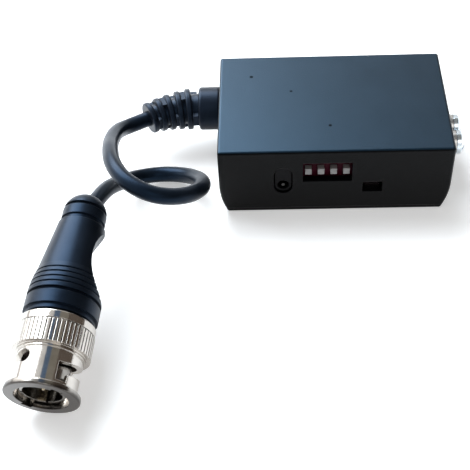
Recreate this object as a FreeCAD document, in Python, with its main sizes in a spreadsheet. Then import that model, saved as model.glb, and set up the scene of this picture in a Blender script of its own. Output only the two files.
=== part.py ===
"""CCTV video balun with a bayonet video plug on a short lead, in millimetres.

The frame has +Z up, +X towards the line terminals and +Y away from the front face with its switches.
The origin lies on the table, under the middle of the case with its terminals, the lead left out.
"""
import FreeCAD, Part
import math
import os
import re
import Sketcher

App = FreeCAD
Vector = App.Vector

SIZES = (
    ("case_length", 47.0, "case along X, over its two end walls"),
    ("case_depth", 30.6, "case along Y, front face to back face"),
    ("case_height", 16.5, "case along Z, table to roof"),
    ("roof_thickness", 1.8, "roof of the cover"),
    ("side_wall", 1.6, "front and back walls of the cover"),
    ("end_wall", 2.4, "end walls of the cover, where they are upright"),
    ("end_curve_height", 7.0, "height below which the end walls curve in"),
    ("end_curve_inset", 1.5, "how far the end walls have curved in at the table"),
    ("base_rim", 1.0, "visible edge of the base plate under the cover"),
    ("base_floor", 1.0, "raised floor of the base plate inside the cover"),
    ("lip_clearance", 0.1, "gap round the raised floor and the tabs"),
    ("case_edge_round", 0.55, "rounding of the case's outer edges"),
    ("boss_radius", 2.2, "screw boss of the cover"),
    ("boss_pilot_radius", 0.85, "hole that a case screw cuts into"),
    ("boss_pilot_depth", 7.0, "depth of that hole"),
    ("boss_end_inset", 5.0, "boss centre from an end wall's outside"),
    ("boss_side_inset", 4.2, "boss centre from the front or back face"),
    ("lead_boss_inset", 11.5, "boss beside the lead, from the left end"),
    ("case_screw_length", 6.5, "case screw under its head"),
    ("case_screw_radius", 0.8, "case screw shank"),
    ("case_screw_head_radius", 1.5, "case screw head"),
    ("case_screw_head_height", 0.9, "case screw head"),
    ("head_recess_clearance", 0.15, "gap round a sunk screw head"),
    ("board_end_gap", 0.6, "circuit board from the case's inner ends"),
    ("board_side_gap", 0.8, "circuit board from the case's inner front and back"),
    ("board_thickness", 1.6, "circuit board"),
    ("board_height", 3.4, "underside of the circuit board above the table"),
    ("boss_notch_clearance", 0.3, "gap between a boss and the board"),
    ("standoff_radius", 1.9, "standoff under the board"),
    ("board_screw_length", 3.6, "board screw under its head"),
    ("board_screw_radius", 0.75, "board screw shank"),
    ("board_screw_head_radius", 1.6, "board screw head"),
    ("board_screw_head_height", 1.1, "board screw head"),
    ("screw_fit", 0.05, "radial gap between a screw and its hole"),
    ("socket_from_left", 13.05, "power socket axis from the case's left end"),
    ("socket_height", 7.3, "power socket axis above the table"),
    ("socket_width", 5.0, "power socket body"),
    ("socket_top", 12.0, "power socket body's top above the table"),
    ("socket_length", 9.0, "power socket body along Y"),
    ("socket_bore_radius", 1.2, "hole for the power plug"),
    ("socket_bore_depth", 7.0, "depth of that hole"),
    ("socket_pin_radius", 0.35, "centre pin of the power socket"),
    ("socket_pin_root_radius", 0.8, "root of the centre pin"),
    ("contact_thickness", 0.3, "side spring of the power socket"),
    ("face_gap", 0.15, "gap from the front wall to what stands behind it"),
    ("socket_window_width", 3.8, "power window in the front wall"),
    ("socket_window_height", 6.8, "power window in the front wall"),
    ("socket_window_middle", 8.7, "power window's middle above the table"),
    ("socket_nose_gap", 0.25, "gap round the power socket's nose in its window"),
    ("socket_setback", 0.35, "power socket's nose behind the case's front"),
    ("switch_from_left", 21.95, "switch bank's middle from the case's left end"),
    ("switch_window_width", 9.9, "switch window in the front wall"),
    ("switch_window_foot", 8.4, "lower edge of the switch window"),
    ("switch_window_top", 13.3, "upper edge of the switch window"),
    ("switch_body_width", 11.66, "switch housing along X"),
    ("switch_roof_gap", 0.2, "switch housing's top from the roof"),
    ("switch_cover_depth", 3.6, "front shell of the switch along Y"),
    ("switch_base_depth", 2.4, "rear block of the switch along Y"),
    ("lever_count", 4, "switches in the bank"),
    ("lever_pitch", 2.54, "from one lever to the next"),
    ("lever_width", 1.3, "lever along X"),
    ("lever_height", 1.5, "lever along Z"),
    ("lever_middle", 10.5, "lever's middle above the table, switched on"),
    ("lever_travel", 1.3, "lever's way from on down to off"),
    ("lever_reach", 1.15, "how far a lever stands out of its housing"),
    ("lever_foot_width", 1.9, "wide foot that keeps a lever in"),
    ("lever_foot_height", 2.1, "foot along Z"),
    ("lever_foot_depth", 1.0, "foot along Y"),
    ("lever_slot_depth", 1.4, "thickness of the housing wall that a lever passes"),
    ("lever_clearance", 0.05, "gap round a lever and its foot"),
    ("pin_radius", 0.25, "solder pin of the switch"),
    ("pin_below_board", 0.8, "how far solder pins reach under the board"),
    ("pin_row_spacing", 1.6, "between the two rows of switch pins"),
    ("led_from_left", 31.1, "indicator's middle from the case's left end"),
    ("led_window_width", 4.0, "indicator window in the front wall"),
    ("led_window_foot", 5.3, "lower edge of the indicator window"),
    ("led_window_top", 8.0, "upper edge of the indicator window"),
    ("led_width", 3.4, "indicator body"),
    ("led_height", 2.8, "indicator body above the board"),
    ("led_depth", 2.6, "indicator body along Y"),
    ("led_edge_round", 0.3, "rounding of the indicator's front"),
    ("insert_width", 11.0, "terminal insert along Y"),
    ("insert_length", 9.0, "terminal insert along X"),
    ("insert_top", 11.3, "terminal insert's top above the table"),
    ("insert_clearance", 0.1, "gap between the insert and the case"),
    ("terminal_share", 0.465686, "middle of the two terminals, as a share of the case's depth"),
    ("terminal_pitch", 5.1, "from one terminal to the other"),
    ("terminal_height", 7.65, "terminal axes above the table"),
    ("post_radius", 2.1, "terminal post"),
    ("post_depth", 6.0, "terminal post inside the insert"),
    ("post_proud", 1.4, "terminal post outside the end wall"),
    ("washer_gap", 0.1, "tightened clamp washer from its post"),
    ("washer_radius", 2.45, "clamp washer"),
    ("washer_thickness", 0.7, "clamp washer"),
    ("head_gap", 0.05, "screw head from its clamp washer"),
    ("terminal_head_radius", 2.5, "terminal screw head"),
    ("terminal_head_height", 1.85, "terminal screw head"),
    ("terminal_head_edge", 0.9, "straight edge of the terminal screw head"),
    ("terminal_shank_radius", 1.2, "terminal screw shank"),
    ("terminal_screw_length", 6.0, "terminal screw under its head"),
    ("slot_width", 0.7, "driver slot in a terminal screw"),
    ("slot_depth", 0.8, "driver slot in a terminal screw"),
    ("post_tag_width", 1.0, "solder tag under a terminal post"),
    ("relief_from_back", 7.1, "lead's axis from the back face"),
    ("relief_height", 8.25, "lead's axis above the table"),
    ("relief_neck_radius", 3.4, "strain relief where it passes the end wall"),
    ("relief_flange_radius", 4.4, "strain relief's flange inside the wall"),
    ("relief_flange_thickness", 1.5, "that flange along the lead"),
    ("relief_collar_radius", 4.65, "strain relief's collar outside the wall"),
    ("relief_collar_length", 4.7, "that collar along the lead"),
    ("relief_wall_gap", 0.1, "collar and flange from the end wall"),
    ("relief_core_start", 3.3, "radius of the relief's core behind the collar"),
    ("relief_core_end", 2.35, "radius of the core at its tip"),
    ("relief_bend_radius", 22.0, "curve of the strain relief's centreline"),
    ("relief_turn", 30.0, "turn of that curve, degrees"),
    ("rib_count", 5, "ribs behind the collar"),
    ("rib_pitch", 2.15, "from one rib to the next along the curve"),
    ("rib_thickness", 1.25, "rib along the lead"),
    ("first_rib_radius", 4.45, "first rib behind the collar"),
    ("last_rib_radius", 3.4, "last rib, at the tip"),
    ("bridge_width", 2.6, "web between two ribs"),
    ("web_inset", 0.25, "web's outer edge inside the rib's"),
    ("rib_edge_round", 0.375, "rounding of the ribs"),
    ("collar_edge_round", 0.6, "rounding of the collar"),
    ("cable_radius", 1.65, "video lead"),
    ("jacket_gap", 0.03, "radial gap between the lead and what it passes"),
    ("core_radius", 0.85, "insulated core of the lead"),
    ("tail_length", 1.5, "lead's jacket inside the relief's flange"),
    ("core_tail_side", 0.75, "core beside the lead's axis inside the case"),
    ("core_tail_reach", 2.6, "core from the jacket's end to its bend"),
    ("braid_tail_side", 0.95, "twisted braid beside the lead's axis"),
    ("braid_tail_reach", 2.2, "twisted braid from the jacket's end to its bend"),
    ("braid_tail_radius", 0.51, "twisted braid"),
    ("plug_lean", 11.0, "plug's lean, mouth down, degrees"),
    ("plug_heading", 7.0, "plug's turn from the Y axis, degrees"),
    ("plug_mouth_x", -55.0, "plug's mouth from the origin"),
    ("plug_mouth_y", -65.4, "plug's mouth from the origin"),
    ("table_clearance", 0.01, "plug's lowest edge above the table"),
    ("flange_radius", 6.8, "front flange of the coupling sleeve"),
    ("flange_thickness", 1.2, "front flange of the coupling sleeve"),
    ("sleeve_radius", 5.9, "bayonet part of the coupling sleeve"),
    ("sleeve_bore_radius", 4.9, "bore of the coupling sleeve"),
    ("sleeve_step", 7.4, "mouth to the step before the knurl"),
    ("step_radius", 6.2, "step before the knurl"),
    ("knurl_start", 8.0, "mouth to the knurl"),
    ("rim_length", 1.8, "plain rim behind the knurl, its groove included"),
    ("knurl_radius", 7.0, "knurled grip"),
    ("knurl_count", 54, "grooves round the grip"),
    ("knurl_depth", 0.35, "groove of the knurl"),
    ("knurl_groove_width", 0.42, "groove of the knurl"),
    ("rim_radius", 6.9, "plain rim behind the knurl"),
    ("rim_groove", 0.25, "groove between knurl and rim"),
    ("sleeve_length", 14.0, "coupling sleeve along its axis"),
    ("sleeve_lip", 2.15, "thickness of the sleeve's rear wall"),
    ("sleeve_edge_round", 0.3, "rounding of the sleeve's edges"),
    ("slot_half_width", 1.05, "half the width of a bayonet slot"),
    ("slot_entry_angle", -47.0, "bayonet slot's entry round the axis, degrees"),
    ("slot_turn", 105.0, "turn from the entry to the detent, degrees"),
    ("slot_entry_start", 1.9, "mouth to where the entry breaks the wall"),
    ("slot_ramp_start", 4.2, "mouth to the ramp's first middle"),
    ("slot_ramp_end", 6.0, "mouth to the ramp's last middle"),
    ("detent_radius", 1.2, "detent hole of the bayonet"),
    ("detent_station", 5.65, "mouth to the detent hole's middle"),
    ("entry_groove_depth", 0.6, "groove that lets a stud through the flange"),
    ("contact_radius", 4.05, "outer contact tube of the plug"),
    ("contact_wall", 0.5, "outer contact tube of the plug"),
    ("contact_start", 0.9, "mouth to the outer contact's edge"),
    ("contact_slit_width", 0.4, "slit of the outer contact"),
    ("contact_slit_length", 5.0, "slit of the outer contact"),
    ("shoulder_start", 8.6, "mouth to the plug body's shoulder"),
    ("shoulder_end", 10.3, "mouth to the back of that shoulder"),
    ("shoulder_gap", 0.1, "radial gap between shoulder and sleeve"),
    ("neck_radius", 3.3, "plug body inside the sleeve's rear wall"),
    ("neck_fit", 0.05, "radial gap between neck and sleeve"),
    ("stem_start", 16.0, "mouth to the crimp stem"),
    ("stem_radius", 1.15, "crimp stem"),
    ("stem_end", 24.0, "mouth to the end of the crimp stem"),
    ("spring_thickness", 0.55, "wave spring washer"),
    ("sleeve_play", 0.35, "how far the sleeve moves along its axis"),
    ("play_gap", 0.05, "gap that is left when the sleeve is forward"),
    ("gasket_thickness", 0.8, "gasket before the shoulder"),
    ("ring_thickness", 0.4, "retaining ring behind the sleeve"),
    ("ring_height", 0.6, "retaining ring above its groove's floor"),
    ("ring_gap", 0.05, "retaining ring from the sleeve"),
    ("insulator_radius", 2.35, "insulator round the centre pin"),
    ("insulator_start", 5.4, "mouth to the insulator"),
    ("center_pin_radius", 0.675, "centre pin before the insulator"),
    ("center_shank_radius", 1.05, "centre pin inside the insulator"),
    ("center_pin_start", 1.6, "mouth to the centre pin's tip"),
    ("ferrule_wall", 0.5, "crimp ferrule"),
    ("ferrule_start", 16.5, "mouth to the ferrule"),
    ("ferrule_end", 26.0, "mouth to the ferrule's end"),
    ("braid_thickness", 0.45, "braid over the crimp stem"),
    ("plug_length", 41.53, "plug and boot along their axis"),
    ("boot_gap", 0.5, "boot from the coupling sleeve"),
    ("front_ring_radius", 6.4, "boot's ring next to the sleeve"),
    ("front_ring_end", 15.4, "mouth to the end of that ring"),
    ("band_radius", 6.85, "boot's smooth band"),
    ("band_end", 17.9, "mouth to the end of the band"),
    ("band_groove_end", 18.6, "mouth to the end of the groove behind the band"),
    ("band_groove_depth", 0.55, "groove behind the band"),
    ("fine_groove_count", 4, "fine grooves on the boot's shoulder"),
    ("fine_groove_pitch", 1.05, "from one fine groove to the next"),
    ("fine_groove_width", 0.3, "fine groove"),
    ("fine_groove_depth", 0.28, "fine groove"),
    ("fine_groove_start", 19.45, "mouth to the first fine groove"),
    ("boot_shoulder", 23.9, "mouth to the boot's shoulder"),
    ("boot_shoulder_radius", 6.1, "boot at its shoulder"),
    ("cone_end", 34.5, "mouth to the cone's narrow end"),
    ("cone_end_radius", 4.5, "cone's narrow end"),
    ("tail_groove_depth", 0.6, "two grooves near the boot's tail"),
    ("wide_groove_end", 35.6, "mouth to the end of the wide tail groove"),
    ("narrow_groove_start", 37.6, "mouth to the narrow tail groove"),
    ("narrow_groove_width", 0.7, "narrow tail groove"),
    ("dome_radius", 4.2, "rounded tail of the boot"),
    ("entry_margin", 0.15, "flat round the lead where it enters the boot"),
    ("grip_depth", 2.5, "deepest point of the boot's hollow side from the axis"),
    ("grip_radius", 11.0, "curve of the hollow side"),
    ("grip_middle", 27.5, "mouth to the middle of the hollow side"),
    ("grip_turn", 23.0, "hollow side's turn below the horizontal, degrees"),
    ("boot_bore_gap", 0.1, "boot from the ferrule"),
    ("core_ring_outer", 4.6, "ferrite ring of the balun"),
    ("core_ring_inner", 2.2, "ferrite ring of the balun"),
    ("core_ring_height", 3.4, "ferrite ring of the balun"),
    ("wire_thickness", 0.4, "winding wire"),
    ("core_edge_round", 0.3, "rounding of the ferrite ring"),
    ("winding_turns", 16, "turns round the ferrite ring"),
    ("winding_gap", 0.05, "wire from the ferrite"),
    ("header_width", 11.0, "square header under the ring"),
    ("header_thickness", 0.8, "header under the ring"),
    ("capacitor_radius", 2.5, "electrolytic capacitor"),
    ("capacitor_height", 5.6, "electrolytic capacitor above its foot"),
    ("capacitor_foot", 5.2, "square foot of a capacitor"),
    ("capacitor_foot_height", 0.8, "square foot of a capacitor"),
    ("chip_length", 4.9, "amplifier chip along Y"),
    ("chip_width", 3.9, "amplifier chip along X"),
    ("chip_height", 1.45, "amplifier chip"),
    ("chip_lead_reach", 1.0, "amplifier chip's leads beside its body"),
    ("chip_lead_thickness", 0.2, "amplifier chip's leads"),
    ("chip_lead_pitch", 1.225, "from one of the amplifier chip's leads to the next"),
    ("regulator_length", 6.0, "voltage regulator along X"),
    ("regulator_depth", 4.2, "voltage regulator along Y"),
    ("regulator_height", 2.2, "voltage regulator"),
    ("surge_length", 3.4, "surge suppressor along X"),
    ("surge_depth", 2.0, "surge suppressor along Y"),
    ("surge_height", 2.2, "surge suppressor"),
    ("part_length", 2.0, "small chip part along X"),
    ("part_depth", 1.2, "small chip part along Y"),
    ("part_height", 0.7, "small chip part"),
    ("part_gap", 0.6, "between the two chip parts behind the indicator"),
)

DERIVED = {
    "terminal_reach": "post_proud + washer_gap + washer_thickness + head_gap + terminal_head_height",
    "case_left": "-(case_length + terminal_reach) / 2",
    "case_right": "case_left + case_length",
    "case_front": "-case_depth / 2",
    "case_back": "case_depth / 2",
    "end_curve_radius": "(end_curve_height ^ 2 + end_curve_inset ^ 2) / (2 * end_curve_inset)",
    "inner_left": "case_left + end_wall",
    "inner_right": "case_right - end_wall",
    "inner_front": "case_front + side_wall",
    "inner_back": "case_back - side_wall",
    "roof_under": "case_height - roof_thickness",
    "floor_top": "base_rim + base_floor",
    "board_top": "board_height + board_thickness",
    "board_left": "inner_left + board_end_gap",
    "board_right": "inner_right - board_end_gap",
    "board_front": "inner_front + board_side_gap",
    "board_back": "inner_back - board_side_gap",
    "boss_foot": "floor_top + lip_clearance",
    "behind_wall": "inner_front + face_gap",
    "socket_x": "case_left + socket_from_left",
    "socket_front": "case_front + socket_setback",
    "socket_low": "socket_window_middle - socket_window_height / 2 + socket_window_width / 2",
    "socket_high": "socket_window_middle + socket_window_height / 2 - socket_window_width / 2",
    "switch_x": "case_left + switch_from_left",
    "switch_joint": "behind_wall + switch_cover_depth",
    "switch_back": "switch_joint + switch_base_depth",
    "switch_body_top": "roof_under - switch_roof_gap",
    "led_x": "case_left + led_from_left",
    "terminal_y": "case_front + case_depth * terminal_share",
    "insert_back": "terminal_y + insert_width / 2",
    "insert_left": "case_right - insert_length",
    "washer_x": "case_right + post_proud + washer_gap",
    "head_x": "washer_x + washer_thickness + head_gap",
    "relief_y": "case_back - relief_from_back",
    "relief_slot": "relief_neck_radius + lip_clearance / 2",
    "relief_tab": "relief_slot - lip_clearance",
    "thrust_start": "shoulder_end + play_gap + spring_thickness + play_gap + sleeve_play",
    "lip_start": "sleeve_length - sleeve_lip",
    "knurl_end": "sleeve_length - rim_length",
    "boot_front": "sleeve_length + boot_gap",
    "dome_station": "plug_length - dome_radius",
    "ferrule_radius": "cable_radius + jacket_gap + ferrule_wall",
    "ring_foot": "board_top + header_thickness + wire_thickness + 2 * winding_gap",
}

CABLE_MIDDLE = (
    (-47.4, -1.0, 10.4),
    (-47.7, -7.2, 13.2),
    (-46.9, -13.4, 16.2),
    (-45.6, -19.6, 18.3),
    (-42.4, -25.2, 18.9),
    (-37.2, -27.8, 17.7),
    (-31.7, -25.6, 15.0),
    (-28.7, -19.8, 11.2),
    (-28.8, -13.2, 7.0),
    (-32.0, -7.6, 3.3),
    (-37.9, -5.2, 1.6),
    (-43.6, -7.4, 2.9),
    (-46.9, -12.7, 6.3),
    (-48.4, -18.9, 10.5),
)
FIRST_RUN = 4.2
BEND_SHARE = 0.45
CURVE_STEPS = 6

# Places on the circuit board, as shares of its length from the left and its depth from the front.
SCREW_SHARES = ((0.1024, 0.3953), (0.8195, 0.1240), (0.3805, 0.8837), (0.8195, 0.8992))
CAPACITOR_SHARES = ((0.7463, 0.3178), (0.7463, 0.5504))
PART_SHARES = ((0.2537, 0.7674), (0.3220, 0.7674), (0.1707, 0.6900), (0.1463, 0.5270))
BALUN_SHARE = (0.5122, 0.5388)
CHIP_SHARE = (0.2780, 0.5426)
REGULATOR_SHARE = (0.5854, 0.8850)
SURGE_SHARE = (0.7829, 0.7287)
LAST_SURGE_SHARE = 0.9300

X_AXIS = Vector(1, 0, 0)
Y_AXIS = Vector(0, 1, 0)
Z_AXIS = Vector(0, 0, 1)
TO_RIGHT = App.Rotation(Y_AXIS, 90)
TO_BACK = App.Rotation(X_AXIS, -90)
UPSIDE_DOWN = App.Rotation(X_AXIS, 180)

ALIASES = {alias for alias, _, _ in SIZES}
WORD = re.compile(r"[a-z][a-z0-9_]*")

doc = App.newDocument("video_balun")
sheet = doc.addObject("Spreadsheet::Sheet", "sizes")
nodes = []


def fill_sheet():
    """Write each size, its name and what it measures into one row."""
    for row, (alias, number, note) in enumerate(SIZES, start=1):
        sheet.set(f"A{row}", note)
        sheet.set(f"B{row}", str(number))
        sheet.setAlias(f"B{row}", alias)
    doc.recompute()


def formula(text):
    """An expression with derived names opened up and sizes read from the sheet."""
    def opened(match):
        name = match.group()
        if name in DERIVED:
            return "(" + formula(DERIVED[name]) + ")"
        return "sizes." + name if name in ALIASES else name
    return WORD.sub(opened, str(text))


def value(text):
    """The number that a formula gives now."""
    return float(sheet.evalExpression(formula(text)))


def bind(item, **properties):
    """Tie properties of an object to formulas."""
    for name, text in properties.items():
        item.setExpression(name, formula(text))


def place(item, x="0", y="0", z="0", rotation=App.Rotation()):
    """Turn an object and tie its place to three formulas."""
    item.Placement = App.Placement(Vector(0, 0, 0), rotation)
    for axis, text in (("x", x), ("y", y), ("z", z)):
        item.setExpression(f"Placement.Base.{axis}", formula(text))
    return item


def keep(item, name):
    """Name an object as a finished piece of the balun."""
    item.Label = name
    nodes.append(item)
    return item


def box(name, x, y, z):
    """A block between pairs of formulas along X, Y and Z."""
    block = doc.addObject("Part::Box", name)
    bind(block, Length=f"{x[1]} - ({x[0]})", Width=f"{y[1]} - ({y[0]})", Height=f"{z[1]} - ({z[0]})")
    return place(block, x[0], y[0], z[0])


def rod(name, radius, length, x, y, z, rotation=App.Rotation()):
    """A round bar that starts at a point and runs along +Z turned by the rotation."""
    bar = doc.addObject("Part::Cylinder", name)
    bind(bar, Radius=radius, Height=length)
    return place(bar, x, y, z, rotation)


def join(name, parts):
    """One solid out of several that meet."""
    fused = doc.addObject("Part::MultiFuse", name)
    fused.Shapes = parts
    fused.Refine = True
    return fused


def group(name, parts):
    """Separate solids of like pieces in one object."""
    compound = doc.addObject("Part::Compound", name)
    compound.Links = parts
    return compound


def cut(name, base, tools):
    """A piece with other shapes taken out of it."""
    tool = tools[0] if len(tools) == 1 else join(name + "_tools", tools)
    difference = doc.addObject("Part::Cut", name)
    difference.Base = base
    difference.Tool = tool
    difference.Refine = True
    return difference


def solid(name, shape):
    """A piece whose shape is worked out in this script."""
    feature = doc.addObject("Part::Feature", name)
    feature.Shape = shape
    return feature


def new_body(name):
    """An empty body."""
    return doc.addObject("PartDesign::Body", name)


def attached_sketch(body, plane, name, offset="0"):
    """A sketch on one of the body's own planes, moved along the plane's normal."""
    sketch = body.newObject("Sketcher::SketchObject", name)
    support = next(item for item in body.Origin.OriginFeatures if item.Role == plane)
    sketch.AttachmentSupport = [(support, "")]
    sketch.MapMode = "FlatFace"
    sketch.setExpression("AttachmentOffset.Base.z", formula(offset))
    return sketch


def constrain(sketch, constraint, text):
    """Add a constraint and tie its value to a formula."""
    index = sketch.addConstraint(constraint)
    sketch.setExpression(f"Constraints[{index}]", formula(text))


def pin(sketch, geometry, end, across, along):
    """Tie one point of a sketch to its distances from the sketch's origin."""
    for kind, text in (("DistanceX", across), ("DistanceY", along)):
        constrain(sketch, Sketcher.Constraint(kind, -1, 1, geometry, end, value(text)), text)


def arc_between(centre, start, end, turn):
    """The arc from start to end round centre, turning left or right."""
    if turn == "right":
        start, end = end, start
    first = math.atan2(start.y - centre.y, start.x - centre.x)
    last = math.atan2(end.y - centre.y, end.x - centre.x)
    if last <= first:
        last += 2 * math.pi
    circle = Part.Circle(centre, Z_AXIS, (start - centre).Length)
    return Part.ArcOfCircle(circle, first, last)


def outline(body, plane, name, corners, arcs=None, offset="0"):
    """A closed sketch through corners, each a pair of formulas.

    arcs maps the number of a corner to the centre and the turn of the arc that leaves it.
    """
    arcs = arcs or {}
    sketch = attached_sketch(body, plane, name, offset)
    spots = [Vector(value(across), value(along), 0) for across, along in corners]
    ends = []
    for number, start in enumerate(spots):
        end = spots[(number + 1) % len(spots)]
        if number in arcs:
            across, along, turn = arcs[number]
            sketch.addGeometry(arc_between(Vector(value(across), value(along), 0), start, end, turn))
            ends.append((1, 2) if turn == "left" else (2, 1))
        else:
            sketch.addGeometry(Part.LineSegment(start, end))
            ends.append((1, 2))
    for number in range(len(spots)):
        after = (number + 1) % len(spots)
        meeting = Sketcher.Constraint("Coincident", number, ends[number][1], after, ends[after][0])
        sketch.addConstraint(meeting)
        pin(sketch, number, ends[number][0], *corners[number])
    for number, (across, along, _) in arcs.items():
        chord = spots[(number + 1) % len(spots)] - spots[number]
        kind, text = ("DistanceY", along) if abs(chord.x) >= abs(chord.y) else ("DistanceX", across)
        constrain(sketch, Sketcher.Constraint(kind, -1, 1, number, 3, value(text)), text)
    return sketch


def rectangle(body, plane, name, across, along, offset="0"):
    """A rectangular sketch between two pairs of formulas."""
    (left, right), (low, high) = across, along
    corners = [(left, low), (right, low), (right, high), (left, high)]
    return outline(body, plane, name, corners, offset=offset)


def circles(body, plane, name, centres, radius, offset="0"):
    """A sketch of equal circles round centres given as pairs of formulas."""
    sketch = attached_sketch(body, plane, name, offset)
    for number, (across, along) in enumerate(centres):
        centre = Vector(value(across), value(along), 0)
        sketch.addGeometry(Part.Circle(centre, Z_AXIS, value(radius)))
        pin(sketch, number, 3, across, along)
        constrain(sketch, Sketcher.Constraint("Radius", number, value(radius)), radius)
    return sketch


def pad(body, sketch, length):
    """Raise a sketch along its normal."""
    feature = body.newObject("PartDesign::Pad", sketch.Name + "_pad")
    feature.Profile = sketch
    bind(feature, Length=length)
    doc.recompute()
    return feature


def pocket(body, sketch, length, forwards=False):
    """Sink a sketch against its normal, or along it, and see that it took something away."""
    before = body.Tip.Shape.Volume
    feature = body.newObject("PartDesign::Pocket", sketch.Name + "_pocket")
    feature.Profile = sketch
    feature.Reversed = forwards
    bind(feature, Length=length)
    doc.recompute()
    if not feature.Shape.Volume < before:
        raise RuntimeError(f"{feature.Name} takes nothing away")
    return feature


def turned(name, corners, arcs=None):
    """A body turned about its own Z axis from a profile of radius and height."""
    body = new_body(name)
    sketch = outline(body, "XZ_Plane", name + "_profile", corners, arcs)
    feature = body.newObject("PartDesign::Revolution", name + "_turned")
    feature.Profile = sketch
    feature.ReferenceAxis = (sketch, ["V_Axis"])
    feature.Angle = 360
    doc.recompute()
    return body


def tube(name, outer, inner, start, end):
    """A plain tube about its own Z axis."""
    return turned(name, [(inner, start), (outer, start), (outer, end), (inner, end)])


def round_edges(body, radius, chosen, name):
    """Round the edges of the body's last feature that the function chosen accepts."""
    base = body.Tip
    edges = [f"Edge{k}" for k, edge in enumerate(base.Shape.Edges, start=1) if chosen(edge)]
    feature = body.newObject("PartDesign::Fillet", name)
    feature.Base = (base, edges)
    bind(feature, Radius=radius)
    doc.recompute()
    return feature


def level(edge, height):
    """Whether an edge lies wholly at one height."""
    bounds = edge.BoundBox
    return abs(bounds.ZMin - height) < 1e-4 and abs(bounds.ZMax - height) < 1e-4


def end_inset(height):
    """How far the end walls have curved in at a height, as a formula."""
    return f"(end_curve_radius - sqrt(end_curve_radius ^ 2 - (end_curve_height - {height}) ^ 2))"


def case_block(name, foot):
    """The case's outer form from a height up to the roof, with its edges rounded."""
    body = new_body(name)
    corners = [
        (f"case_left + {end_inset(foot)}", foot),
        (f"case_right - {end_inset(foot)}", foot),
        ("case_right", "end_curve_height"),
        ("case_right", "case_height"),
        ("case_left", "case_height"),
        ("case_left", "end_curve_height"),
    ]
    arcs = {
        1: ("case_right - end_curve_radius", "end_curve_height", "left"),
        5: ("case_left + end_curve_radius", "end_curve_height", "left"),
    }
    pad(body, outline(body, "XZ_Plane", name + "_outline", corners, arcs, "-case_back"), "case_depth")
    low, top = value(foot), value("case_height")

    def outer(edge):
        along_y = edge.BoundBox.YLength > value("case_depth") / 2
        return level(edge, top) or not (along_y or level(edge, low))

    round_edges(body, "case_edge_round", outer, name + "_edges")
    return body


def boss_places():
    """The centres of the four case screws."""
    left, right = "case_left + boss_end_inset", "case_right - boss_end_inset"
    front, back = "case_front + boss_side_inset", "case_back - boss_side_inset"
    return [(left, front), (right, front), ("case_left + lead_boss_inset", back), (right, back)]


def on_board(shares):
    """A place on the circuit board, as formulas along X and Y."""
    across, along = shares
    return (f"(board_left + (board_right - board_left) * {across})",
            f"(board_front + (board_back - board_front) * {along})")


def standoff_places():
    """The centres of the four board screws."""
    return [on_board(shares) for shares in SCREW_SHARES]


def relief_slot(body, name, half_width, foot):
    """The outline of the opening round the lead: upright sides with a round top."""
    corners = [
        (f"relief_y - {half_width}", foot),
        (f"relief_y + {half_width}", foot),
        (f"relief_y + {half_width}", "relief_height"),
        (f"relief_y - {half_width}", "relief_height"),
    ]
    return outline(body, "YZ_Plane", name, corners, {2: ("relief_y", "relief_height", "left")}, "case_left")


def make_top_cover():
    """The deep shell with the roof, four walls, bosses and windows."""
    body = case_block("top_cover", "base_rim")
    cavity = rectangle(body, "XY_Plane", "cover_cavity", ("inner_left", "inner_right"),
                       ("inner_front", "inner_back"), "base_rim")
    pocket(body, cavity, "roof_under - base_rim", forwards=True)
    bosses = circles(body, "XY_Plane", "cover_bosses", boss_places(), "boss_radius", "boss_foot")
    pad(body, bosses, "roof_under + roof_thickness / 2 - boss_foot")
    pilots = circles(body, "XY_Plane", "cover_pilots", boss_places(), "boss_pilot_radius", "boss_foot")
    pocket(body, pilots, "boss_pilot_depth", forwards=True)
    half = "socket_window_width / 2"
    corners = [(f"socket_x - {half}", "socket_low"), (f"socket_x + {half}", "socket_low"),
               (f"socket_x + {half}", "socket_high"), (f"socket_x - {half}", "socket_high")]
    ends = {0: ("socket_x", "socket_low", "left"), 2: ("socket_x", "socket_high", "left")}
    window = outline(body, "XZ_Plane", "power_window", corners, ends, "case_back")
    pocket(body, window, "side_wall")
    window = rectangle(body, "XZ_Plane", "switch_window",
                       ("switch_x - switch_window_width / 2", "switch_x + switch_window_width / 2"),
                       ("switch_window_foot", "switch_window_top"), "case_back")
    pocket(body, window, "side_wall")
    window = rectangle(body, "XZ_Plane", "led_window",
                       ("led_x - led_window_width / 2", "led_x + led_window_width / 2"),
                       ("led_window_foot", "led_window_top"), "case_back")
    pocket(body, window, "side_wall")
    pocket(body, relief_slot(body, "lead_opening", "relief_slot", "0"), "end_wall", forwards=True)
    insert_side = "(insert_width / 2 + insert_clearance)"
    opening = rectangle(body, "YZ_Plane", "terminal_opening",
                        (f"terminal_y - {insert_side}", f"terminal_y + {insert_side}"),
                        ("0", "insert_top + insert_clearance"), "case_right")
    pocket(body, opening, "end_wall")
    keep(body, "top_cover")


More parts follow.
